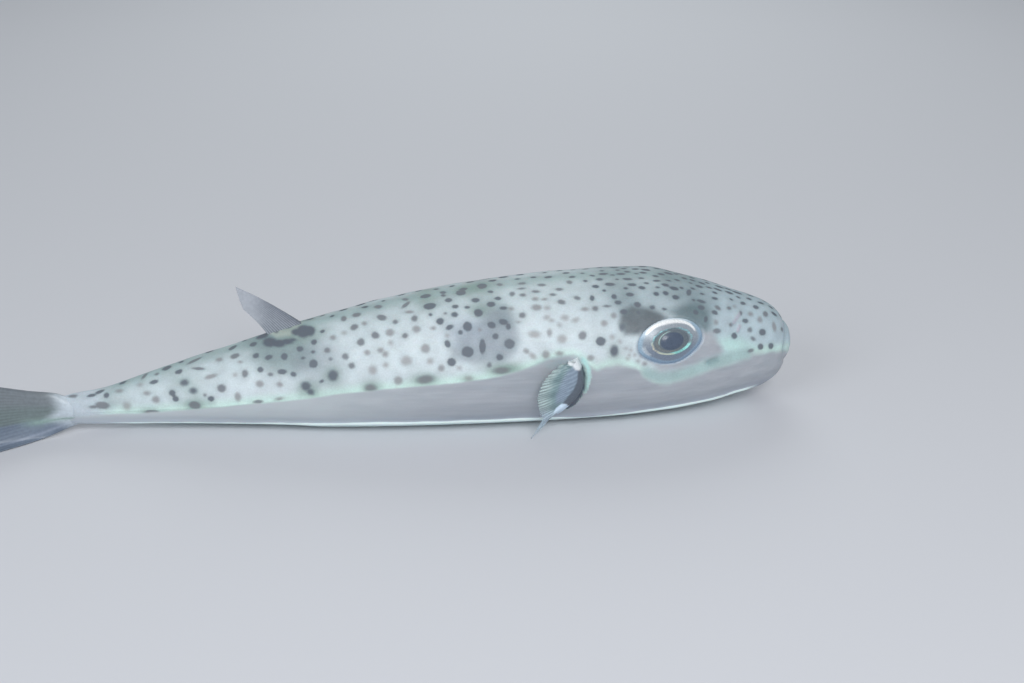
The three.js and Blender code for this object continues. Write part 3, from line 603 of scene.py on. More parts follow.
CHEEK_SILVER = [
    (702, 331), (711, 331), (724, 351), (718, 358), (700, 364), (684, 369), (660, 372), (650, 362),
    (672, 362), (694, 350),
]
AXIL = [
    (577, 361), (583, 366), (586, 376), (585.5, 388), (582, 398), (576, 405), (567, 410), (561, 405),
    (566, 397), (571, 390), (573, 384), (574, 372),
]


def colour(paint):
    """Linear colour of 0-255 display values."""
    c = np.array(paint) / 255
    return np.where(c <= 0.04045, c / 12.92, ((c + 0.055) / 1.055) ** 2.4)


def coated(shape, ground, coats):
    """Colours of a grid of points: a ground, then each coat in turn by its share."""
    tone = np.broadcast_to(colour(ground), (*shape, 3)).copy()
    for share, paint in coats:
        share = np.clip(share, 0, 1)[..., None]
        tone = tone * (1 - share) + colour(paint) * share
    return tone


gill_rim = gill + 1.4 * smooth(gill_share * 1.4 - 0.4)
axil = within(col, row, AXIL, 1.4)
shoulder = blot(557, 364, 24, 7, 12, 4)  # blue-green silver over the pectoral fin
socket = np.zeros(col.shape)  # the skin's edge round the lower half of the eyes
for r, angle in eyes.values():
    socket = np.maximum(socket, rise(r, 1.09, 1.04) * smooth(0.5 - np.sin(angle)))
cheek_band, _ = near_line(col, row, CHEEK_BAND)
tints = [
    (blot(tint_col, tint_row, half_wide, half_high, sum(tilt), power) * share, paint)
    for paint, power, ovals in TINTS
    for tint_col, tint_row, half_wide, half_high, share, *tilt in ovals
]
tone = coated(
    col.shape,
    FLANK,
    [
        (rise(girth, 30, 4) * 0.4, BACK),
        (rise(girth, 9, 1) * 0.5, CREST),
        (rise(base_x, 116, 150) * 0.75, SNOUT),
        (rise(silver_depth, -7, 0) * 0.75, GLOW),
        *tints,
        (within(col, row, SADDLE_EDGE, 11, 0.45) * 0.5, SADDLE_GREY),
        (within(col, row, REAR_PATCH, 8) * 0.92, UMBER),
        (within(col, row, FRONT_PATCH, 13, 0.55) * 0.78, SLATE),
        (within(col, row, DORSAL_PAD, 4) * 0.75, PAD),
        # cheek: a green band over the silver, with painted shade in its crease
        (rise(cheek_band, 11, 2) * 0.85, CHEEK),
        (rise(crease, 6, 0.5) * ends(crease_share, 3) * 0.6, CREASE_SHADE),
        *((rise(flap, 2.4, 0.4) * 0.75, PINK) for flap in nostril_flaps),
        # painted shade in the groove behind the lips
        (lip_front * hill(lip_oval, 1.04, 0.1) * 0.5, GROOVE_SHADE),
        (rise(gill_rim, 4.2, 0.8) * 0.85, GILL_RIM),
        (rise(base_x, -156, -174), SLEEVE),
        (shoulder * 0.8, TEAL),
        (socket * 0.75, SOCKET),
        (axil, AXIL_BLACK),
    ],
)
# silver also fills the hollow between the eye, the cheek band and the snout
silver = np.maximum(silver_depth, inside(col, row, CHEEK_SILVER) / HEAD_SCALE)
silver = np.minimum(silver, (cheek_band - 6.0) / HEAD_SCALE + np.maximum(silver_depth, 0) * 0.25)
silver = np.where(gill_rim < 3.5, np.minimum(silver, (gill_rim - 2.6) / HEAD_SCALE), silver)
silver = np.where(axil > 0.05, -2.0, silver)
silver = np.where(shoulder > 0.02, np.minimum(silver, 8 - 7.8 * shoulder), silver)
silver = np.where(socket > 0.02, np.minimum(silver, 6 - 8 * socket), silver)
# the silver's edge is crisp along the tail and soft on the cheek
silver /= lerp(0.8, 2.2, rise(base_x, 20, 80))
# the white belly begins at the fold, and lower by the gill
fold_away = base_z - fold_height(base_x) + 1.3 * hill(base_x, 82, 20)


# ---------- meshes
def make_piece(name, material, points, faces, corners, tone, **floats):
    """A smooth-shaded piece from points in mm, with per-point values and the baking map."""
    mesh = bpy.data.meshes.new(name)
    mesh.from_pydata((points * MM).tolist(), [], faces)
    for key, values in floats.items():
        layer = mesh.attributes.new(key, "FLOAT", "POINT")
        layer.data.foreach_set("value", values.astype(np.float32))
    layer = mesh.attributes.new("tone", "FLOAT_COLOR", "POINT")
    rgba = np.concatenate([tone, np.ones((len(tone), 1))], 1)
    layer.data.foreach_set("color", rgba.astype(np.float32).ravel())
    layer = mesh.uv_layers.new(name="OFBake")
    layer.data.foreach_set("uv", corners.astype(np.float32).ravel())
    shaping = bmesh.new()
    shaping.from_mesh(mesh)
    bmesh.ops.recalc_face_normals(shaping, faces=shaping.faces)
    shaping.to_mesh(mesh)
    shaping.free()
    mesh.shade_smooth()
    mesh.materials.append(material)
    piece = bpy.data.objects.new(name, mesh)
    bpy.context.scene.collection.objects.link(piece)
    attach(piece, "root")
    return piece


def tube_piece(name, material, place, closed, points, tone, **floats):
    """A piece round rings of points [ring, step]. place gives the baking map's (u, v) of a ring and
    a step, and closed names the end rings, 0 or -1, that a fan to their middle closes."""
    rings, steps = points.shape[:2]
    index = np.arange(rings * steps).reshape(rings, steps)
    after = np.roll(index, -1, 1)
    quads = np.stack([index[:-1], after[:-1], after[1:], index[1:]], -1).reshape(-1, 4)
    i, j = np.indices((rings - 1, steps))
    square = [place(i, j), place(i, j + 1), place(i + 1, j + 1), place(i + 1, j)]
    corners = [np.array(square).transpose(2, 3, 0, 1).reshape(-1, 2)]
    faces = quads.tolist()
    for middle, end in enumerate(closed, rings * steps):
        ring, beyond = (rings - 1, rings) if end else (0, -1)
        faces += [(a, b, middle) for a, b in zip(index[ring].tolist(), after[ring].tolist())]
        fan = [place(ring, j[0]), place(ring, j[0] + 1), place(beyond, j[0] + 0.5)]
        corners.append(np.array([np.broadcast_arrays(*uv) for uv in fan]).transpose(2, 0, 1).reshape(-1, 2))

    def flat(values):
        rows = values.reshape(rings * steps, -1)
        middles = [values[end].reshape(steps, -1).mean(0, keepdims=True) for end in closed]
        return np.concatenate([rows, *middles])

    floats = {key: flat(values)[:, 0] for key, values in floats.items()}
    return make_piece(name, material, flat(points), faces, np.concatenate(corners), flat(tone), **floats)


def blade_piece(name, material, middle, thick, tone, cover):
    """A fin over a grid of middle-layer points [ray, step]: two faces joined round the rim."""
    rays, steps = middle.shape[:2]
    lean = unit(np.cross(np.gradient(middle, axis=1), np.gradient(middle, axis=0)))
    points = np.stack([middle + way * lean * thick[..., None] / 2 for way in (1, -1)]).reshape(-1, 3)
    points[:, 2] = np.maximum(points[:, 2], FIN_CLEAR)
    index = np.arange(rays * steps).reshape(rays, steps)
    front = np.stack([index[:-1, :-1], index[1:, :-1], index[1:, 1:], index[:-1, 1:]], -1).reshape(-1, 4)
    rim = np.concatenate([index[0], index[1:, -1], index[-1, -2::-1], index[-2:0:-1, 0]])
    after = np.roll(rim, -1)
    back = rays * steps  # the back layer's points come after the front's
    sides = np.stack([rim, after, after + back, rim + back], 1)
    faces = np.concatenate([front, front[:, ::-1] + back, sides])
    v, u = (axis.ravel() for axis in np.indices((rays, steps)))
    place = np.stack([0.01 + 0.48 * u / (steps - 1), 0.01 + 0.98 * v / (rays - 1)], -1)
    shifted = place[front[:, ::-1]] + (0.5, 0)
    corners = np.concatenate([place[front], shifted, place[np.stack([rim, after, after, rim], 1)]])
    tone, cover = np.tile(tone.reshape(-1, 3), (2, 1)), np.tile(cover.ravel(), 2)
    return make_piece(name, material, points, faces.tolist(), corners, tone, cover=cover)


# ---------- materials
class Paint:
    """Short-hand for one material's nodes. Lengths in it are millimetres, and a tuple is a colour."""

    def __init__(self, name):
        self.material = bpy.data.materials.new(name)
        self.material.use_nodes = True
        self.tree = self.material.node_tree
        self.tree.nodes.clear()
        self.shader = self.tree.nodes.new("ShaderNodeBsdfPrincipled")
        self.node("OutputMaterial", {"Surface": self.shader.outputs[0]}, None)
        coordinates = self.node("TexCoord", {}, "Object")
        self.place = self.node("VectorMath", {0: coordinates, "Scale": 1 / MM}, operation="SCALE")

    def put(self, socket, value):
        if isinstance(value, bpy.types.NodeSocket):
            self.tree.links.new(value, socket)
        elif isinstance(value, (int, float)):
            socket.default_value = value
        else:
            value = colour(value) if isinstance(value, tuple) else value
            socket.default_value = (*value, 1.0)[: len(socket.default_value)]

    def node(self, kind, inputs, output=0, **settings):
        """Adds a node with its inputs by name or number, and gives one of its outputs."""
        node = self.tree.nodes.new("ShaderNode" + kind)
        for key, value in settings.items():
            setattr(node, key, value)
        for key, value in inputs.items():
            self.put(node.inputs[key], value)
        return None if output is None else node.outputs[output]

    def set(self, **inputs):
        for name, value in inputs.items():
            self.put(self.shader.inputs[name.replace("_", " ")], value)

    def math(self, operation, a, b):
        return self.node("Math", {0: a, 1: b}, operation=operation)

    def times(self, a, b):
        return self.math("MULTIPLY", a, b)

    def plus(self, a, b):
        return self.math("ADD", a, b)

    def remap(self, value, low, high, to_low=0.0, to_high=1.0):
        """Smooth step of a value from low..high to to_low..to_high."""
        inputs = dict(enumerate((value, low, high, to_low, to_high)))
        return self.node("MapRange", inputs, interpolation_type="SMOOTHSTEP")

    def mix(self, share, a, b, blend="MIX"):
        return self.node("Mix", {0: share, 6: a, 7: b}, 2, data_type="RGBA", blend_type=blend)

    def attribute(self, name, kind="Fac"):
        return self.node("Attribute", {}, kind, attribute_name=name)

    def noise(self, size, detail, stretch=(1.0, 1.0, 1.0)):
        """Noise about 0.5 whose blobs are roughly size mm across, times stretch on each axis."""
        place = self.node("VectorMath", {0: self.place, 1: 1 / np.array(stretch)}, operation="MULTIPLY")
        return self.node("TexNoise", {"Scale": 1 / size, "Detail": detail, "Vector": place}, "Fac")

    def drift(self, reach, *noise):
        """Noise about 0."""
        return self.times(self.math("SUBTRACT", self.noise(*noise), 0.5), reach)

    def vary(self, base, noise, low, high):
        """A colour made low to high times as bright by a noise."""
        return self.mix(1.0, base, self.remap(noise, 0.3, 0.7, low, high), "MULTIPLY")

    def pimples(self, size):
        """Distance from the nearest of points about size mm apart, in units of size."""
        return self.node("TexVoronoi", {"Scale": 1 / size, "Vector": self.place}, "Distance")

    def bump(self, height, strength, depth):
        """Bump from a height of 0 to 1 that stands for depth mm."""
        inputs = {"Strength": strength, "Distance": depth * MM, "Height": height}
        self.set(Normal=self.node("Bump", inputs))


SPOT_DARK, SPOT_FADED, SPOT_HALO = (99, 107, 117), (146, 142, 144), (118, 138, 140)
SILVER_DIM, SILVER_BRIGHT, SILVER_PALE = (166, 172, 180), (178, 183, 190), (196, 204, 208)
SILVER_BLUE, SILVER_SPECK = (158, 170, 188), (214, 222, 226)
WHITE, MOUTH_SHADE = (230, 247, 246), (120, 112, 112)
BEAK_SHADE, BEAK_LIGHT = (206, 198, 178), (236, 230, 214)


def skin_material():
    p = Paint("spotted_skin")
    along, fold = p.attribute("along"), p.attribute("fold")
    base = p.vary(p.attribute("tone", "Color"), p.noise(8, 4), 0.93, 1.05)
    base = p.vary(base, p.noise(0.8, 3), 0.95, 1.04)
    # dark marks: their edges are softened and broken up a little by noise
    edge = p.plus(p.attribute("spot"), p.drift(0.9, 1.8, 3))
    dark = p.attribute("spot_dark")
    share = p.math("DIVIDE", edge, p.attribute("spot_soft"))
    cover = p.times(p.remap(share, 1.0, -1.0), p.math("POWER", dark, 0.5))
    halo = p.times(p.remap(edge, 3.2, -0.5), p.times(dark, 0.22))
    base = p.mix(halo, base, SPOT_HALO)
    base = p.mix(cover, base, p.mix(p.remap(dark, 0.35, 0.95), SPOT_FADED, SPOT_DARK))
    # silver lower side, streaked lengthwise
    fine = p.noise(0.9, 2, (22, 1, 1))
    plate = p.mix(p.remap(p.noise(4, 4, (14, 1, 1)), 0.3, 0.7), SILVER_DIM, SILVER_BRIGHT)
    plate = p.vary(plate, fine, 0.98, 1.02)
    plate = p.mix(p.remap(along, 30, -90, 0, 0.8), plate, SILVER_PALE)
    plate = p.mix(p.remap(fold, 8, 0, 0, 0.45), plate, SILVER_BLUE)
    plate = p.mix(p.times(p.remap(p.pimples(1.3), 0.16, 0.06), 0.25), plate, SILVER_SPECK)
    silvered = p.remap(p.plus(p.attribute("silver"), p.drift(1.2, 3, 3, (3, 1, 1))), -1.0, 1.1)
    base = p.mix(silvered, base, plate)
    # the fold's edge and the belly under it are white; the chin keeps more of its silver
    level = p.plus(p.plus(fold, p.drift(1.2, 5, 3, (4, 1, 1))), p.remap(along, -20, -90, 0, 0.5))
    belly = p.times(p.remap(along, 176, 166), p.remap(along, -172, -146, 0.25, 1))
    belly = p.times(p.remap(level, 2.05, 1.35), belly)
    base = p.mix(belly, base, WHITE)
    # painted shade in the mouth's slot between the lips
    base = p.mix(p.attribute("mouth"), base, MOUTH_SHADE)
    metal = p.times(silvered, p.math("SUBTRACT", 1.0, belly))
    p.set(Base_Color=base, Metallic=p.times(metal, 0.22))
    p.set(Roughness=p.plus(p.remap(metal, 0, 1, 0.55, 0.4), p.times(fine, 0.08)))
    p.set(Coat_Weight=0.06, Coat_Roughness=0.25, Specular_IOR_Level=0.3, IOR=1.36)
    p.set(Subsurface_Weight=0.06, Subsurface_Scale=0.002)
    prickle = p.times(p.remap(p.pimples(1.5), 0.35, 0.05), p.remap(p.noise(30, 1), 0.4, 0.6))
    p.bump(p.plus(p.times(prickle, 0.5), p.noise(1.6, 4, (1.8, 1, 1))), 0.35, 0.22)
    return p.material


def eye_material():
    p = Paint("eye")
    fibres = p.noise(0.5, 3)
    p.set(Base_Color=p.vary(p.attribute("tone", "Color"), fibres, 0.86, 1.1), Roughness=0.34)
    p.set(Metallic=p.times(p.attribute("foil"), 0.3))
    p.set(Coat_Weight=0.3, Coat_Roughness=0.12, Coat_IOR=1.34, IOR=1.36)
    p.bump(fibres, 0.15, 0.1)
    return p.material


def beak_material():
    p = Paint("beak")
    growth = p.noise(0.6, 3, (1, 6, 1))
    p.set(Base_Color=p.mix(p.remap(growth, 0.35, 0.65), BEAK_SHADE, BEAK_LIGHT))
    p.set(Roughness=p.remap(growth, 0.3, 0.7, 0.28, 0.42), Coat_Weight=0.4, Coat_Roughness=0.15)
    p.bump(growth, 0.25, 0.12)
    return p.material


def fin_material(name, gloss):
    """Fins carry their colour and cover as per-point values."""
    p = Paint(name)
    grain = p.noise(1.6, 2)
    p.set(Base_Color=p.vary(p.attribute("tone", "Color"), grain, 0.94, 1.05), Alpha=p.attribute("cover"))
    p.set(Roughness=0.5 - 0.2 * gloss, Coat_Weight=0.08 + 0.5 * gloss, Coat_Roughness=0.25)
    p.bump(grain, 0.2, 0.12)
    return p.material


# ---------- eyes
EYE_RINGS, EYE_TURNS = 84, 240
EYE_BULGE, EYE_SUNK = 1.6, 0.35
IRIS_HALF = (10.7, 6.5)  # half-axes of the iris
IRIS_SHIFT = (0.4, 0.25)  # its centre from the eye's
PUPIL_HALF = (6.6, 4.7)
# the painted highlight arc over the eye: angle in degrees, then its middle and half-width as shares of the
# eye
ARC_MIDDLE = [0, 20, 45, 80, 120, 150], [0.8, 0.82, 0.86, 0.86, 0.885, 0.87]
ARC_HALF = [10, 25, 55, 95, 125, 150], [0.02, 0.035, 0.06, 0.095, 0.06, 0.02]


def arc(angle, middle, reach, soft):
    """1 where the angle is within reach of middle, in degrees."""
    off = np.abs((angle - math.radians(middle) + math.pi) % (2 * math.pi) - math.pi)
    return smooth((math.radians(reach) - off) / math.radians(soft) + 0.5)


def eye_piece(way, name, material):
    """The eye's outer face: blue rim, grey band with a painted white highlight arc, gilt ring, iris and
    pupil.
    """
    point, normal, long, high = eye_frame(way)
    d = base.reshape(-1, 3) - point
    a, b, h = d @ long, d @ high, d @ normal
    near = (np.hypot(a / EYE_LONG, b / EYE_HIGH) < 1.25) & (np.abs(h) < 20)

    def terms(a, b):
        """The skin's height under the eye is fitted by a quadric of these terms."""
        return np.stack([a * 0 + 1, a, b, a * a, a * b, b * b], -1)

    fit = np.linalg.lstsq(terms(a[near], b[near]), h[near], rcond=None)[0]
    turn = np.arange(EYE_TURNS) / EYE_TURNS * 2 * math.pi
    r, t = np.meshgrid(np.linspace(0, 1.03, EYE_RINGS)[1:], turn, indexing="ij")
    a, b = EYE_LONG * r * almond(t) * np.cos(t), EYE_HIGH * r * almond(t) * np.sin(t)
    # the iris lies in a shallow dish with the lens standing out of the pupil
    iris_a, iris_b = (a - IRIS_SHIFT[0]) / IRIS_HALF[0], (b - IRIS_SHIFT[1]) / IRIS_HALF[1]
    q, s = np.hypot(iris_a, iris_b), np.arctan2(iris_b, iris_a)
    pupil = np.hypot((a - IRIS_SHIFT[0]) / PUPIL_HALF[0], (b - IRIS_SHIFT[1]) / PUPIL_HALF[1])
    height = terms(a, b) @ fit + EYE_BULGE * (1 - r**2.2) - EYE_SUNK
    height += 0.25 * hill(q, 1.04, 0.06) - 0.55 * rise(q, 1, 0.88)
    height += 0.5 * rise(pupil, 1, 0.5) - 1.2 * rise(r, 0.985, 1.025)
    points = point + a[..., None] * long + b[..., None] * high + height[..., None] * normal

    def band(radius, middle, width):
        return hill(radius, middle, width, 4)

    t_degrees = np.degrees(t)
    # painted highlight: a white arc along the upper rim
    arc_highlight = arc(t, 81, 62, 12) * band(r, np.interp(t_degrees, *ARC_MIDDLE), np.interp(t_degrees, *ARC_HALF))
    broken = 0.62 + 0.38 * np.sin(9 * s + 2 * np.sin(5 * s)) * np.sin(23 * s + 1.3)
    ring = band(q, 1.0 + 0.02 * np.sin(13 * s), 0.055) * broken
    coats = [
        (arc(t, 262, 84, 60) * 0.7, (104, 118, 138)),
        (band(r, 0.95, 0.1) * 0.75, (150, 178, 198)),
        (band(r, 0.97, 0.1) * arc(t, 285, 80, 60) * 0.6, (104, 124, 152)),
        # painted highlight on the upper rim: broad over the front of the eye's top, a thin line along its
        # rear half
        (arc(t, 92, 44, 30) * rise(r, 0.86, 0.92), (196, 208, 216)),
        (arc_highlight, (243, 245, 246)),
        (arc(t, 196, 16, 12) * band(r, 0.83, 0.06) * 0.35, (226, 234, 238)),
        # gilt and green ring, broken into flecks
        (rise(q, 1.08, 1), (118, 130, 138)),
        (ring * 0.5, (130, 150, 156)),
        (ring * arc(s, 140, 44, 34), (150, 206, 212)),
        (ring * arc(s, 32, 34, 26), (150, 200, 208)),
        (ring * arc(s, 196, 30, 24), (216, 208, 192)),
        (band(q, 0.96, 0.1) * arc(s, 298, 36, 24) * (0.35 + 0.65 * broken), (134, 212, 206)),
        (band(q, 0.99, 0.06) * arc(s, 246, 26, 18) * 0.8, (200, 208, 190)),
        # iris and pupil
        (rise(q, 0.91, 0.85), (100, 110, 118)),
        (band(q, 0.78, 0.07) * arc(s, 215, 80, 60) * 0.45, (134, 136, 132)),
        (band(pupil, 1.08, 0.04) * arc(s, 140, 44, 26) * 0.8, (176, 208, 204)),
        (rise(pupil, 1, 0.9), (80, 92, 110)),
    ]
    tone = coated(r.shape, (150, 159, 168), coats)
    foil = np.clip(ring + arc_highlight * 0.4 + band(r, 0.75, 0.1) * 0.3, 0, 1)

    def place(i, j):
        out, angle = 0.49 * (i + 1) / (EYE_RINGS - 1), 2 * math.pi * j / EYE_TURNS
        return 0.5 + out * np.cos(angle), 0.5 + out * np.sin(angle)

    return tube_piece(name, material, place, (0,), points, tone, foil=foil)


# ---------- beak
BEAK_FRONT, BEAK_OVERBITE = 190.3, 0.6
BEAK_REACH, BEAK_BACK = 8.2, 7.0
BEAK_DEEP, BEAK_HIGH = 1.9, 3.6
BEAK_GAPE, BEAK_GROOVE = 0.5, 0.45
BEAK_TURN = math.radians(78)  # how far round the jaw each half reaches


def beak_piece(way, name, material):
    """One fused plate of the beak with the groove down its middle, way 1 upper and -1 lower."""
    across, around = 80, 24
    angles = np.arange(around) / around * 2 * math.pi
    turn, b = np.meshgrid(np.linspace(-1, 1, across), angles, indexing="ij")
    a = turn * BEAK_TURN
    half_deep, half_high = BEAK_DEEP * (1 - 0.3 * turn**2), BEAK_HIGH / 2 * (1 - 0.35 * turn**2)
    out = half_deep * np.sign(np.cos(b)) * np.abs(np.cos(b)) ** 0.8 - BEAK_GROOVE * hill(turn, 0, 0.035)
    up = half_high * np.sign(np.sin(b)) * np.abs(np.sin(b)) ** 0.8
    x = BEAK_FRONT - BEAK_OVERBITE * (way < 0) - BEAK_DEEP - BEAK_BACK * (1 - np.cos(a)) + out * np.cos(a)
    y = BEAK_REACH * np.sin(a) + out * np.sin(a)
    z = MOUTH_Z + way * (BEAK_GAPE / 2 + half_high + up)

    def place(i, j):
        return (i + 1) / (across + 1), j / around

    points = np.stack([x, y, z], -1)
    return tube_piece(name, material, place, (-1, 0), points, np.ones(points.shape))


# ---------- fins
PECTORAL_TOP, PECTORAL_BOTTOM = np.array([72.5, -36.6, 44.5]), np.array([64.5, -33.0, 16.6])
PECTORAL_SWELL = 6.8  # how far its root bows forward between them
PECTORAL_PROUD, PECTORAL_SINK = 2.6, 2.5  # its root stands out of the skin, and starts under it
PECTORAL_ROOT = 0.12  # share of each ray that the root takes
PECTORAL_MARGIN = np.array(
    [
        (65, -41.5, 44.5), (59, -44, 41), (55, -46, 36), (52.6, -46.5, 29),
        (53.6, -45.5, 21), (55.6, -42.5, 11), (50.5, -38, 0.5),
    ]
)
PECTORAL_RAYS = 15
PECTORAL_DROOP = 0.6  # crowds the rays' ends towards the lower margin
PECTORAL_OUT, PECTORAL_BOW = 2.5, 6.5  # bows of all rays outwards, and of the lower ones upwards
# places on the right fin's outer face, as (column, row) outlines
LOWER_RAYS_ROW = 407
PALM = [
    (566, 372), (572, 366), (577, 371), (576, 380), (571, 392), (563, 402), (556, 404), (556, 395),
    (560, 385),
]
BLACK_BASE = [
    (577, 361), (583, 366), (588, 376), (588, 389), (584, 399), (576, 407),
    (567, 409), (561, 405), (566, 397), (571, 390), (574, 382), (574.5, 372),
]
# painted highlight at the top of the fin's root
HIGHLIGHT_TOP = [
    (561, 358.5), (568, 356), (576, 359), (578, 365), (576, 372), (572, 371), (568, 364.5), (562, 362.5),
]
WHITE_BOTTOM = [
    (561, 403.5), (565, 404), (568, 406.5), (564, 410.5), (558, 413), (553, 413.5), (555.5, 408.5),
]


def spread(rays, steps):
    """V from 0 to 1 over a fin's rays, and U from 0 to 1 out along them."""
    return np.meshgrid(np.linspace(0, 1, rays), np.linspace(0, 1, steps), indexing="ij")


def forking(V, U, count):
    """Height 0 to 1 of a fin's rays, which fork once outwards."""
    return lerp(wave(count * V), wave(2 * count * V), rise(U, 0.35, 0.47))


def pectoral_pieces():
    V, U = spread(181, 64)
    u = U[0]
    middle = np.zeros((*U.shape, 3))
    for k, t in enumerate(V[:, 0]):
        root = lerp(PECTORAL_TOP, PECTORAL_BOTTOM, t)
        root[0] += PECTORAL_SWELL * math.sin(math.pi * t)
        point, normal = hide_at(root[0], root[2], -1)
        proud = point + normal * PECTORAL_PROUD + (-1.5, 0, 0)
        end = smooth_curve(PECTORAL_MARGIN, t**PECTORAL_DROOP)
        jagged = 0.97 + 0.05 * wave(PECTORAL_RAYS * 2 * t) * (1 - 0.5 * t)
        out = np.clip((u - PECTORAL_ROOT) / (1 - PECTORAL_ROOT), 0, None) * jagged
        outer = lerp(proud, end, out[:, None])
        out = np.clip(out, 0, 1)
        outer[:, 1] -= PECTORAL_OUT * np.sin(math.pi * out)
        outer[:, 2] += PECTORAL_BOW * rise(t, 0.6, 1) * np.sin(math.pi * out**0.6)
        inner = lerp(point - normal * PECTORAL_SINK, proud, np.clip(u / PECTORAL_ROOT, 0, 1)[:, None])
        middle[k] = np.where(u[:, None] < PECTORAL_ROOT, inner, outer)
    ridge = forking(V, U, PECTORAL_RAYS)
    thick = lerp(4.2, 0.35, rise(U, 0.1, 0.6)) + 0.4 * ridge * rise(U, 0.25, 0.4) * (1 - 0.6 * U)
    # ripples of the folded membrane
    ripple = np.sin(2 * math.pi * 5 * V + 3 * U)
    middle[..., 1] += 0.5 * ripple * rise(U, 0.45, 0.75) * rise(V, 0.95, 0.85)
    c, r = picture(middle - np.array([0.35, 0.9, 0]) * thick[..., None] / 2)
    fold = 0.5 + 0.5 * np.sin(2 * math.pi * (4.6 * V + 0.7 * U))
    palm = within(c, r, PALM, 5)
    lower = rise(r, LOWER_RAYS_ROW, LOWER_RAYS_ROW + 10)
    coats = [
        (ridge * 0.35, (150, 178, 180)),
        # darker folds of the membrane run down and back across the rays
        (fold**2 * 0.4 * rise(U, 0.25, 0.45), (92, 116, 122)),
        (palm * 0.85, (126, 141, 160)),
        (palm * ridge * 0.35, (166, 184, 204)),
        (within(c, r, BLACK_BASE, 1.8), AXIL_BLACK),
        # painted highlight at the top of the root
        (within(c, r, HIGHLIGHT_TOP, 2.2) * 0.95, (232, 238, 242)),
        (within(c, r, WHITE_BOTTOM, 1.6), (214, 234, 252)),
        # pale fringe and lower rays
        (rise(U, 0.66, 0.92) * (0.65 + 0.35 * ridge), (186, 206, 206)),
        (lower * 0.9, (184, 202, 216)),
    ]
    tone = coated(U.shape, (112, 136, 142), coats)
    ragged = 0.5 + 0.5 * np.sin(2 * math.pi * PECTORAL_RAYS * 1.7 * V + 5 * U)
    cover = 1 - rise(U, 0.66, 0.98) * (1 - 0.55 * ridge) * (0.6 + 0.35 * ragged)
    cover = np.clip(cover - lower * (0.08 + (1 - ridge) * 0.3), 0.08, 1)
    material = fin_material("pectoral_membrane", 0.15)
    for way, name in ((-1, "pectoral_fin_skin_right"), (1, "pectoral_fin_skin_left")):
        yield blade_piece(name, material, middle * (1, -way, 1), thick, tone, cover)


DORSAL_FRONT, DORSAL_REAR, DORSAL_SINK = -60.5, -79.0, 2.0
# ends of its rays, from the tip down the rear margin
DORSAL_MARGIN = np.array(
    [(-95, 2, 75.5), (-94.6, 1.9, 74.2), (-94.2, 1.8, 71.8), (-93.4, 1.5, 68), (-92, 1.2, 63)]
)
DORSAL_RAYS, DORSAL_BULGE = 14, 1.5


def dorsal_piece():
    V, U = spread(145, 60)
    x = lerp(DORSAL_FRONT, DORSAL_REAR, V[:, 0])
    top = hide(x, np.full(len(x), math.pi / 2), 1)
    root = np.stack([x, x * 0, top[:, 2] - DORSAL_SINK], 1)
    tips = np.array([smooth_curve(DORSAL_MARGIN, t) for t in V[:, 0]])
    middle = lerp(root[:, None], tips[:, None], U[..., None])
    middle[..., 2] += DORSAL_BULGE * np.sin(math.pi * U) * (1 - 0.4 * V)
    ridge = wave(DORSAL_RAYS * V)
    thick = lerp(2.4, 0.2, rise(U, 0, 0.45)) + 0.12 * ridge * (1 - U)
    lead, front = rise(V, 0.2, 0), rise(V, 0.5, 0.1) * rise(U, 0.8, 0.5)
    inked = ridge * rise(U, 0.85, 0.4)
    thin = np.maximum(rise(U, 0.4, 0.9), rise(V, 0.2, 1) * rise(U, 0.2, 0.6))
    coats = [
        (front * 0.7, (124, 132, 144)),
        (inked * 0.8, (92, 100, 112)),
        (front * (1 - ridge) ** 2 * 0.5, (176, 178, 188)),
        (lead * 0.5, (104, 112, 124)),
        (rise(U, 0.1, 0.02) * 0.8, (164, 176, 176)),
        (thin * 0.8, (178, 184, 194)),
    ]
    tone = coated(U.shape, (160, 167, 177), coats)
    cover = lerp(0.84, 0.97, inked) * lerp(1.0, 0.7, thin)
    cover = np.maximum(cover, lead * lerp(0.95, 0.8, U))
    cover = np.maximum(cover, rise(U, 0.2, 0.1))
    return blade_piece("dorsal_fin_skin", fin_material("dorsal_membrane", 0.2), middle, thick, tone, cover)


ANAL_FRONT, ANAL_REAR, ANAL_LEVEL = -80.0, -95.0, 1.15
ANAL_TIP, ANAL_HEEL = np.array([-118.0, 24.0, 0.45]), np.array([-109.0, 9.0, 0.45])
ANAL_RAYS = 11


def anal_piece():
    V, U = spread(121, 48)
    x = lerp(ANAL_FRONT, ANAL_REAR, V[:, 0])
    root = np.stack([x, x * 0, x * 0 + ANAL_LEVEL], 1)
    tips = lerp(ANAL_TIP, ANAL_HEEL, V[:, :1] ** 0.6)
    middle = lerp(root[:, None], tips[:, None], U[..., None])
    ridge = forking(V, U, ANAL_RAYS)
    thick = lerp(1.4, 0.25, rise(U, 0, 0.5)) + 0.3 * ridge
    tone = coated(U.shape, (206, 214, 220), [(ridge * 0.5, (236, 240, 242))])
    cover = lerp(0.6, 1.0, np.clip(ridge + rise(U, 0.25, 0.1), 0, 1))
    return blade_piece("anal_fin_skin", fin_material("anal_membrane", 0.3), middle, thick, tone, cover)


CAUDAL_X, CAUDAL_TOP, CAUDAL_BOTTOM = -181.0, 20.2, 6.8  # its root
CAUDAL_UP, CAUDAL_DOWN, CAUDAL_SWING = 19.5, -15.0, 14.0  # degrees: its outer rays, and to the right
CAUDAL_LOBE, CAUDAL_MIDDLE = 68.0, 56.5  # lengths of the outer and middle rays
CAUDAL_FLOOR, CAUDAL_SOFT = 0.45, 2.5  # its lowest level, and how softly rays bend onto it
CAUDAL_KEEL = 8.0  # how much further forward its lowest rays start
CAUDAL_RAYS = 10


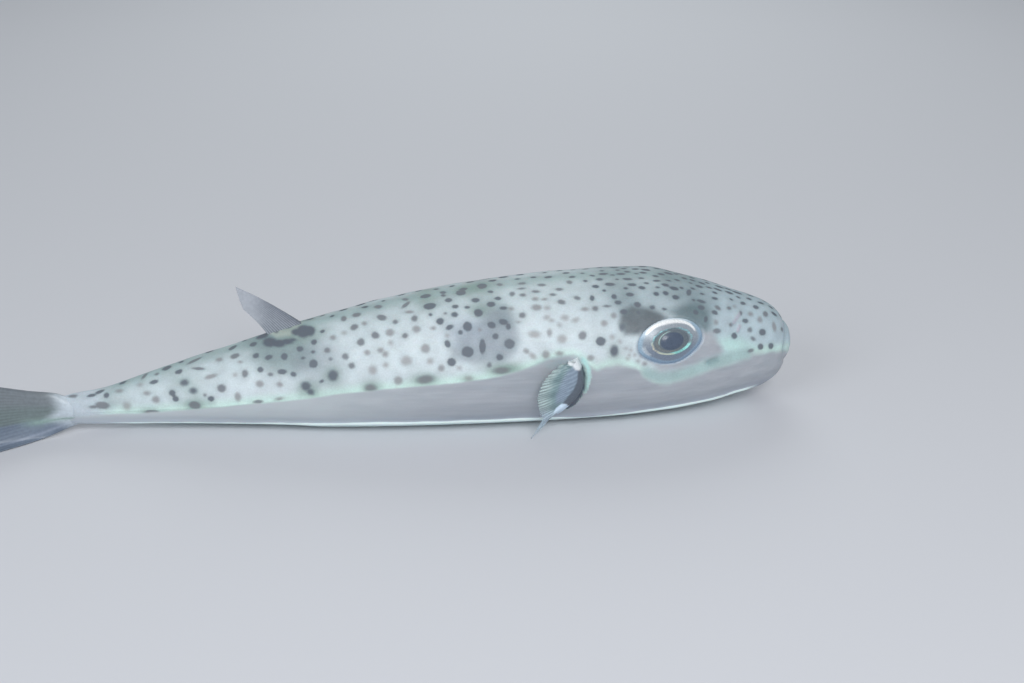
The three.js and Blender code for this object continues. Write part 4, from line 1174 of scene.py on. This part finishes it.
def caudal_piece():
    """The tail fan. Rays that would dip under the floor lie out over it instead."""
    V, U = spread(221, 90)
    apart = np.abs(2 * V - 1)  # 0 at the middle ray and 1 at the outer ones
    angle = np.radians(lerp(CAUDAL_UP, CAUDAL_DOWN, V)) * rise(U, -0.02, 0.14)
    keel = CAUDAL_KEEL * rise(V, 0.7, 1)
    length = (lerp(CAUDAL_MIDDLE, CAUDAL_LOBE, apart**2) + keel) * U
    back = length * np.cos(angle)
    flat = lerp(CAUDAL_TOP, CAUDAL_BOTTOM, V) + length * np.sin(angle)
    above = flat - CAUDAL_FLOOR
    lift = (above + np.sqrt(above**2 + CAUDAL_SOFT**2)) / 2
    lift -= CAUDAL_SOFT**2 / (8 * CAUDAL_SOFT + 4 * np.abs(above))
    z = CAUDAL_FLOOR + lift
    swing = math.radians(CAUDAL_SWING) * rise(U, 0, 0.35)
    y = bend(STALK_X) - back * np.sin(swing) - 1.1 * np.maximum(0, z - flat)
    middle = np.stack([CAUDAL_X + keel - back * np.cos(swing), y, np.maximum(z, CAUDAL_FLOOR)], -1)
    ridge = forking(V, U, CAUDAL_RAYS)
    oval = np.sqrt(np.maximum(0.02, 1 - (2 * V - 1) ** 2))
    thick = lerp(9.9 * oval, 0.45, rise(U, -0.05, 0.45)) + 0.1 * ridge * rise(U, 0.1, 0.3) * (1 - 0.5 * U)
    sleeve = 0.24 + 0.1 * hill(V, 0.66, 0.16) - 0.01 * ridge
    edge = rise(U, 0.9, 1)
    coats = [
        (rise(V, 0.2, 0.45) * 0.6, (100, 118, 116)),
        (rise(V, 0.6, 0.67) * 0.9, (106, 119, 138)),
        (ridge * 0.12, (146, 154, 162)),
        (hill(V, 0.65, 0.035) * rise(U, 0.6, 0.9) * 0.5, (128, 158, 186)),
        (hill(V, 0.9, 0.022) * 0.4, (150, 160, 180)),
        (rise(V, 0.05, 0.02) * 0.4, (92, 100, 108)),
        (rise(U, sleeve, sleeve - 0.17), SLEEVE),
        (hill(V, lerp(0.76, 0.62, U / 0.6), 0.08) * rise(U, 0.55, 0.3) * 0.75, (140, 166, 158)),
        (edge * rise(apart, 0.2, 0.7) * 0.5, (180, 188, 194)),
    ]
    tone = coated(U.shape, (114, 122, 128), coats)
    cover = 1 - edge * (1 - ridge) * 0.6 - 0.1 * (1 - ridge) * rise(U, 0.4, 0.7)
    cover = np.clip(cover, 0.2, 1)
    return blade_piece("caudal_fin_skin", fin_material("tail_membrane", 0.1), middle, thick, tone, cover)


# ---------- assembly
SKIN_NODES = "head", "trunk", "tail_stalk", "upper_lip", "lower_lip", "nostril_right", "nostril_left"


def skin_place(i, j):
    """The baking map's place of a ring and a step."""
    return (i + 1) / (RINGS + 1), j / (2 * HALF_STEPS)


skin = tube_piece(
    "skin",
    skin_material(),
    skin_place,
    (-1, 0),
    grid,
    tone,
    spot=spot,
    spot_dark=spot_dark,
    spot_soft=spot_soft,
    silver=np.clip(silver, -FAR, FAR),
    fold=np.clip(fold_away, -FAR, FAR),
    along=base_x,
    mouth=slot * 0.9,
)
eye_paint, beak_paint = eye_material(), beak_material()
eye_right, eye_left = eye_piece(-1, "eye_face_right", eye_paint), eye_piece(1, "eye_face_left", eye_paint)
plate_upper = beak_piece(1, "beak_plate_upper", beak_paint)
plate_lower = beak_piece(-1, "beak_plate_lower", beak_paint)
pectoral_right, pectoral_left = pectoral_pieces()
for piece, look, *nodes in (
    (skin, "skin_spotted", *SKIN_NODES),
    (eye_right, "eye", "eye_right"),
    (eye_left, "eye", "eye_left"),
    (plate_upper, "beak", "beak_upper"),
    (plate_lower, "beak", "beak_lower"),
    (pectoral_right, "pectoral_membrane", "pectoral_fin_right"),
    (pectoral_left, "pectoral_membrane", "pectoral_fin_left"),
    (dorsal_piece(), "fin_membrane", "dorsal_fin"),
    (anal_piece(), "fin_membrane", "anal_fin"),
    (caudal_piece(), "tail_membrane", "caudal_fin"),
):
    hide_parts(*nodes)

# ---------- floor, light and camera, in metres
FLOOR_HALF = 6.0
corners = [(x * FLOOR_HALF, y * FLOOR_HALF, 0) for x, y in ((-1, -1), (1, -1), (1, 1), (-1, 1))]
floor_mesh = bpy.data.meshes.new("floor")
floor_mesh.from_pydata(corners, [], [(0, 1, 2, 3)])
paper = Paint("floor_paper")
paper.set(Base_Color=np.array([0.60, 0.61, 0.65]), Roughness=0.9)
floor_mesh.materials.append(paper.material)
floor = bpy.data.objects.new("floor", floor_mesh)
bpy.context.scene.collection.objects.link(floor)

LIT_PLACE = Vector((0.02, 0, 0.03))
for name, place, size, power, tint in (
    ("key", (0.2, -1.15, 0.95), 0.6, 12.5, (1.0, 1.0, 1.0)),
    ("fill", (-1.0, -0.9, 0.9), 0.9, 6.3, (0.94, 0.98, 1.0)),
    ("back", (0.2, 1.1, 0.9), 0.9, 5.0, (0.95, 1.0, 0.98)),
):
    light = bpy.data.lights.new(name, "AREA")
    light.shape = "DISK"
    light.size = size
    light.energy = power
    light.color = tint
    lamp = bpy.data.objects.new(name, light)
    lamp.location = place
    lamp.rotation_euler = (LIT_PLACE - Vector(place)).to_track_quat("-Z", "Y").to_euler()
    bpy.context.scene.collection.objects.link(lamp)

world = bpy.data.worlds.new("studio")
world.use_nodes = True
world.node_tree.nodes["Background"].inputs["Color"].default_value = (0.86, 0.9, 0.95, 1)
world.node_tree.nodes["Background"].inputs["Strength"].default_value = 0.36
bpy.context.scene.world = world
bpy.context.scene.view_settings.view_transform = "Standard"

lens = bpy.data.cameras.new("camera")
lens.lens = CAM_LENS
lens.sensor_width = CAM_SENSOR
camera = bpy.data.objects.new("camera", lens)
camera.location = cam_place * MM
camera.rotation_euler = Vector(-cam_back).to_track_quat("-Z", "Y").to_euler()
bpy.context.scene.collection.objects.link(camera)
bpy.context.scene.camera = camera
